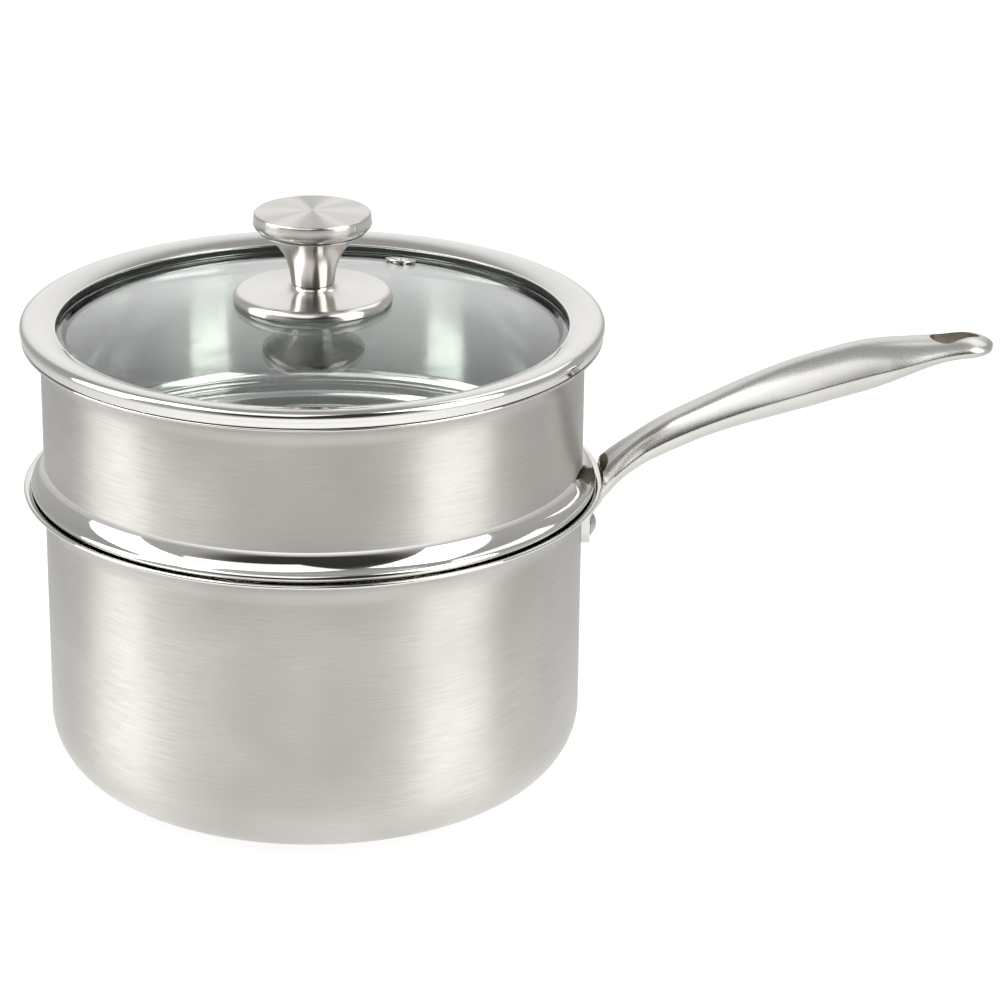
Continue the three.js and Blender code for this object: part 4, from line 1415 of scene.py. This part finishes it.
@dataclass
class Knob:
    """Knob: turned cap on a waisted stem, on a trumpet-shaped base plate, screwed through the glass."""

    lid: Lid
    rim: float = 3.6
    rim_round: float = 2.9
    rim_land: float = 0.6
    rim_ease: float = 3.0
    dish: float = 0.3
    flare: float = 18.0
    neck: float = 7.8
    stem_foot: float = 8.2
    foot_round: float = 0.5
    stem_height: float = 19.6
    stem_top: float = 19.2
    stem_taper: float = 84.0
    stem_pull: float = 7.0
    flare_angle: float = 32.0
    flare_pull: float = 10.7
    flange_edge: float = 0.8
    cap_foot: float = 20.0
    cap_bowl: float = 2.5
    cap_taper: float = 0.35
    cap_skirt: float = 5.8
    cap_edge: float = 1.0
    cap_face: float = 0.7
    cap_lead: float = 0.3
    cap_sheet: float = 1.2
    screw_bore: float = 2.7
    nut_radius: float = 4.5
    gasket_inner: float = 12.0
    gasket_outer: float = 20.0
    gasket: float = 1.0
    collar: float = 1.2
    screw_head: float = 3.2
    screw_crown: float = 2.2
    screw: float = 2.4
    screw_tip: float = 1.2
    soft: float = 0.2

    def __post_init__(self) -> None:
        """Works out where the top of the cap starts."""
        self.face_low = low("knob_cap").z + self.cap_skirt + self.cap_face * self.cap_edge

    def build(self, shop: Workshop) -> None:
        """Builds and dresses every piece of the knob.

        Args:
            shop: workshop that dresses and fits the pieces.
        """
        pieces = {
            "knob_base": (self.plate(), [SPUN_KNOB]),
            "knob_stem": (self.stem(), [SPUN_KNOB]),
            "knob_cap": (self.cap(), [SPUN_KNOB, SPUN_FACE]),
            "knob_screw": (self.screw_piece(), [BUFFED_SHEET]),
            "screw_washer": (self.ring("screw_washer"), [BUFFED_SHEET]),
            # Nearly black gasket: its dark colour is partly painted shade of the gap under the base plate
            "knob_gasket": (self.ring("knob_gasket", self.gasket_inner), [DARK_SILICONE_PAINTED_SHADE]),
            "glass_grommet": (self.grommet(), [CLEAR_SILICONE]),
            "knob_nut": (self.ring("knob_nut"), [TURNED_BRASS]),
        }
        for node, (piece, finishes) in pieces.items():
            shop.dress(piece, finishes, self.finish_at if len(finishes) > 1 else None)
            shop.fit(piece, Body.LID, node, finishes[0].slot)

    def finish_at(self, point: Vector, normal: Vector) -> int:
        """1 for a face on the top of the cap and 0 for others, by the height of its centre alone."""
        return int(point.z > self.face_low)

    def plate(self) -> bpy.types.Object:
        """Base plate: hollow below to follow the glass, with a groove for its gasket.

        Returns:
            The plate in its place.
        """
        edge = high("knob_base").x
        bottom = low("knob_base").z
        neck = high("knob_base").z
        top = bottom + self.rim
        gap = self.lid.gap
        groove = high("knob_gasket").z + gap
        trough = top - self.dish
        brow = edge - self.rim_round
        step = 0.4
        trumpet = bezier([(self.flare, trough), (self.neck + self.dish, trough), (self.neck, neck)])
        return lathe("knob_base_fine", [
            *self.lid.dome_line(self.screw_bore, self.gasket_inner - gap, -gap, 8),
            (self.gasket_inner - gap, groove), (self.gasket_outer + gap, groove),
            *self.lid.dome_line(self.gasket_outer + gap, edge - self.rim_land, -gap, 8),
            *rounded([(edge - 0.5, bottom, 0), (edge, bottom, 0.4), (edge, bottom + 0.7, 0)])[1:-1],
            *arc((brow, top - self.rim_round), self.rim_round, 0, 90),
            *bezier([(brow - step, top), (brow - self.rim_ease, top),
                     (self.flare + self.rim_ease, trough), (self.flare + step, trough)]),
            *trumpet,
            (self.screw_bore, neck),
        ], KNOB_ROUND)

    def stem(self) -> bpy.types.Object:
        """Stem: a waist that flares into the flange under the cap.

        Returns:
            The stem in its place.
        """
        bottom = low("knob_stem").z
        top = high("knob_stem").z
        flange = bottom + self.stem_height
        flange_top = flange + self.flange_edge
        spigot = self.cap_foot - self.cap_sheet - self.lid.gap
        pocket = self.nut_radius + self.lid.gap
        ceiling = high("knob_nut").z + self.lid.gap
        foot = (self.stem_foot, bottom + self.foot_round)
        wide = (self.stem_top, flange)
        return lathe("knob_stem_fine", [
            (0.0, ceiling), (pocket, ceiling), (pocket, bottom),
            *arc((self.stem_foot - self.foot_round, foot[1]), self.foot_round, -90, 0, 8)[:-1],
            *bezier([foot, pulled(foot, self.stem_taper, self.stem_pull),
                     pulled(wide, self.flare_angle, -self.flare_pull), wide], 40),
            *rounded([(*wide, 0), (self.cap_foot, flange + self.flange_edge / 2, 0.3),
                      (self.cap_foot, flange_top, 0.1), (spigot, flange_top, 0)])[1:],
            (spigot, top), (0.0, top),
        ], KNOB_ROUND)

    def cap(self) -> bpy.types.Object:
        """Cap: turned, with a bowl-shaped lower side and a low crown, hollow for the stem.

        Returns:
            The cap in its place.
        """
        bottom = low("knob_cap").z
        top = high("knob_cap").z
        wide = high("knob_cap").x
        inside = self.cap_foot - self.cap_sheet
        ceiling = high("knob_stem").z + self.lid.gap
        side = bottom + self.cap_skirt
        upper = wide - self.cap_taper
        lead = (self.cap_foot + self.cap_lead, bottom + self.soft)
        return lathe("knob_cap_fine", [
            (0.0, ceiling), (inside, ceiling),
            *rounded([(inside, bottom + 0.6, 0), (inside, bottom, self.soft), (self.cap_foot, bottom, 0.15),
                      (*lead, 0)])[:-1],
            *sweep(lead, (wide, bottom + self.cap_bowl), self.flare_angle, 16),
            *arc((upper - self.cap_edge, side), self.cap_edge, 0, 80, 8),
            *bezier([(upper - 1.6 * self.cap_edge, side + self.cap_edge), (wide / 2, top), (0.8, top)], 16),
            (0.0, top - 0.1),
        ], KNOB_ROUND)

    def screw_piece(self) -> bpy.types.Object:
        """Screw with a round head under the glass.

        Returns:
            The screw in its place.
        """
        bottom = low("knob_screw").z
        top = high("knob_screw").z
        wide = high("knob_screw").x
        head = bottom + self.screw_head
        soft = self.soft
        return lathe("knob_screw_fine", rounded([
            (0.0, bottom, 0), (wide, bottom, self.screw_crown), (wide, head, 0.3), (self.screw, head, soft),
            (self.screw, top - self.screw_tip, soft), (self.screw_tip, top, soft), (0.0, top, 0),
        ]), SMALL_ROUND)

    def ring(self, node: str, inside: float | None = None) -> bpy.types.Object:
        """Plain ring in a node's place, with softened edges.

        Args:
            node: frame node that it stands for.
            inside: radius of its bore, the screw's where none is given.

        Returns:
            The ring.
        """
        bottom = low(node).z
        top = high(node).z
        wide = high(node).x
        bore = self.screw_bore if inside is None else inside
        soft = 0.25
        return lathe(f"{node}_fine", rounded([
            (bore, (bottom + top) / 2, 0), (bore, bottom, soft), (wide, bottom, soft), (wide, top, soft),
            (bore, top, soft), (bore, (bottom + top) / 2 + 0.1, 0)]), SMALL_ROUND)

    def grommet(self) -> bpy.types.Object:
        """Silicone grommet under the glass, with a collar round the screw.

        Returns:
            The grommet in its place.
        """
        bottom = low("glass_grommet").z
        top = high("glass_grommet").z
        wide = high("glass_grommet").x
        bore = self.screw_bore
        collar = bore + self.collar
        upper = bottom + self.gasket
        soft = self.soft
        return lathe("glass_grommet_fine", rounded([
            (bore, bottom + 0.5, 0), (bore, bottom, soft), (wide, bottom, 2 * soft), (wide, upper, 2 * soft),
            (collar, upper, soft), (collar, top, soft), (bore, top, soft), (bore, bottom + 1, 0),
        ]), SMALL_ROUND)


# Studio

@dataclass(frozen=True)
class Softbox:
    """Soft rectangular lamp that looks at the pot."""

    name: str
    place: Place
    size: Point
    white: float

    def build(self, target: Vector) -> None:
        """Hangs the lamp. Its power follows from its area and how white it looks.

        Args:
            target: point that it looks at.
        """
        lamp = bpy.data.lights.new(self.name, "AREA")
        lamp.shape = "RECTANGLE"
        lamp.size, lamp.size_y = self.size
        lamp.energy = math.pi * self.size[0] * self.size[1] * self.white
        hung = bpy.data.objects.new(self.name, lamp)
        hung.location = self.place
        hung.rotation_euler = (target - Vector(self.place)).to_track_quat("-Z", "Y").to_euler()
        bpy.context.scene.collection.objects.link(hung)


@dataclass
class Studio:
    """White floor with a painted glow, pale walls, soft lamps and the camera.

    Lamps and the light pool on the floor are in metres. Each fall is a pair of cosines, of the angle from a
    direction, between which the light of the walls changes.
    """

    distance: float = 1398.2
    elevation: float = 21.44
    focal_pixels: float = 3641.5
    aim_height: float = 100.0
    aim_pixel: Point = (314.6, 510.1)
    sensor: float = 36.0
    roll: float = -0.45
    sight: float = 100.0
    wall: float = 0.57
    roof: float = 0.48
    roof_fall: Point = (0.1, 0.9)
    back: float = 0.65
    back_tilt: float = 24.0
    back_fall: Point = (0.84, 1.0)
    shade: float = 0.1
    shade_tilt: float = 62.0
    shade_fall: Point = (0.62, 0.9)
    floor_half: float = 3000.0
    floor_colour: str = "848482"
    glow: float = 0.86
    # Painted pool of light on the floor, seen only in reflections: brightest in front of the pot, fading to
    # its rest further off
    pool_glow: float = 1.2
    pool_rest: float = 0.45
    pool_ahead: float = 0.3
    pool_near: float = 0.12
    pool_far: float = 0.75
    softboxes: tuple[Softbox, ...] = (
        Softbox("lamp_left", (-1.18, -0.08, 0.9), (0.82, 2.0), 3.6),
        Softbox("lamp_right", (1.0, -0.62, 0.8), (0.8, 1.7), 3.4),
        Softbox("lamp_key", (-0.46, -0.73, 1.33), (1.2, 0.95), 1.6),
        Softbox("lamp_back", (0.75, 0.62, 1.25), (0.8, 0.8), 1.2),
    )

    def build(self) -> None:
        """Builds floor, world, lamps and camera."""
        bpy.context.scene.view_settings.view_transform = "Standard"
        self.build_floor()
        self.build_world()
        target = Vector((0.0, 0.0, self.aim_height * MM))
        for lamp in self.softboxes:
            lamp.build(target)
        self.build_camera(target)

    def build_floor(self) -> None:
        """White floor, evenly bright to the camera so that it keeps the pot's shadow, with a painted pool of
        light in front of the pot that only reflections see.
        """
        half = self.floor_half
        corners = [(-half, -half, 0), (half, -half, 0), (half, half, 0), (-half, half, 0)]
        floor = mesh_object("floor", corners, [[0, 1, 2, 3]])
        material, tree = new_material("floor_white_painted_glow")
        path = add(tree, "ShaderNodeLightPath").outputs
        place = add(tree, "ShaderNodeTexCoord").outputs["Object"]
        away = add(tree, "ShaderNodeVectorMath", {0: place, 1: (0.0, -self.pool_ahead, 0.0)},
                   operation="DISTANCE").outputs["Value"]
        fade = add(tree, "ShaderNodeMapRange", {
            "Value": away, "From Min": self.pool_near, "From Max": self.pool_far,
            "To Min": self.pool_glow, "To Max": self.pool_rest}, interpolation_type="SMOOTHSTEP").outputs[0]
        seen = add(tree, "ShaderNodeMath", {0: path["Is Camera Ray"], 1: path["Is Transmission Ray"]},
                   operation="MAXIMUM").outputs[0]
        shown = add(tree, "ShaderNodeMath", {0: seen, 1: self.glow}, operation="MULTIPLY").outputs[0]
        # Painted pool of light: the floor glows brighter in front of the pot for reflections only
        painted_pool = add(tree, "ShaderNodeMath", {0: path["Is Glossy Ray"], 1: fade},
                       operation="MULTIPLY").outputs[0]
        strength = add(tree, "ShaderNodeMath", {0: shown, 1: painted_pool}, operation="ADD")
        glow = add(tree, "ShaderNodeEmission", {"Color": linear("ffffff"), "Strength": strength.outputs[0]})
        acrylic = add(tree, "ShaderNodeBsdfDiffuse", {"Color": linear(self.floor_colour)})
        both = add(tree, "ShaderNodeAddShader", {0: acrylic.outputs[0], 1: glow.outputs[0]})
        add(tree, "ShaderNodeOutputMaterial", {"Surface": both.outputs[0]})
        floor.data.materials.append(material)

    def build_world(self) -> None:
        """White walls all round, brightest behind the pot and dark on the near side."""
        world = bpy.data.worlds.new("studio")
        bpy.context.scene.world = world
        world.use_nodes = True
        tree = world.node_tree
        tree.nodes.clear()
        way = add(tree, "ShaderNodeTexCoord").outputs["Generated"]
        lean = math.radians(self.shade_tilt)
        lift = math.radians(self.back_tilt)
        poles = [(0.0, 0.0, 1.0), (0.0, -math.sin(lean), math.cos(lean)),
                 (0.0, math.cos(lift), math.sin(lift))]
        falls = [self.roof_fall, self.shade_fall, self.back_fall]
        levels = [(self.wall, self.roof), (1.0, self.shade), (0.0, self.back)]
        lights = []
        for pole, (start, end), (first, last) in zip(poles, falls, levels):
            near = add(tree, "ShaderNodeVectorMath", {0: way, 1: pole},
                       operation="DOT_PRODUCT").outputs["Value"]
            lights.append(add(tree, "ShaderNodeMapRange", {
                "Value": near, "From Min": start, "From Max": end, "To Min": first, "To Max": last},
                interpolation_type="SMOOTHSTEP").outputs[0])
        sky, shade, behind = lights
        walls = add(tree, "ShaderNodeMath", {0: sky, 1: shade}, operation="MULTIPLY").outputs[0]
        total = add(tree, "ShaderNodeMath", {0: walls, 1: behind}, operation="ADD")
        glow = add(tree, "ShaderNodeBackground", {"Color": linear("ffffff"), "Strength": total.outputs[0]})
        add(tree, "ShaderNodeOutputWorld", {"Surface": glow.outputs[0]})

    def build_camera(self, target: Vector) -> None:
        """Camera aimed so that the pot stands where the photograph has it.

        Args:
            target: point on the pot's axis that is seen at the aim pixel.
        """
        lens = bpy.data.cameras.new("camera")
        lens.sensor_width = self.sensor
        lens.lens = self.focal_pixels / FRAME_PIXELS * self.sensor
        camera = bpy.data.objects.new("camera", lens)
        bpy.context.scene.collection.objects.link(camera)
        rise = math.radians(self.elevation)
        back = Vector((0.0, -math.cos(rise), math.sin(rise)))
        turn = math.atan((FRAME_PIXELS / 2 - self.aim_pixel[0]) / self.focal_pixels)
        tilt = math.atan((self.aim_pixel[1] - FRAME_PIXELS / 2) / self.focal_pixels)
        look = (-back).to_track_quat("-Z", "Y").to_matrix().to_4x4()
        nudge = Matrix.Rotation(-turn, 4, "Y") @ Matrix.Rotation(tilt, 4, "X")
        spin = Matrix.Rotation(math.radians(self.roll), 4, "Z")
        camera.matrix_world = Matrix.Translation(target + back * self.distance * MM) @ look @ nudge @ spin
        lens.clip_end = self.sight
        bpy.context.scene.camera = camera


def main() -> None:
    """Builds the studio and every sub-assembly, in order."""
    logging.basicConfig(level=logging.INFO, format="%(name)s: %(message)s")
    shop = Workshop()
    Studio().build()
    pan = Saucepan()
    pan.build(shop)
    Handle(pan).build(shop)
    steamer = Steamer(pan)
    steamer.build(shop)
    lid = Lid(steamer)
    lid.build(shop)
    Knob(lid).build(shop)


if __name__ == "__main__":
    main()
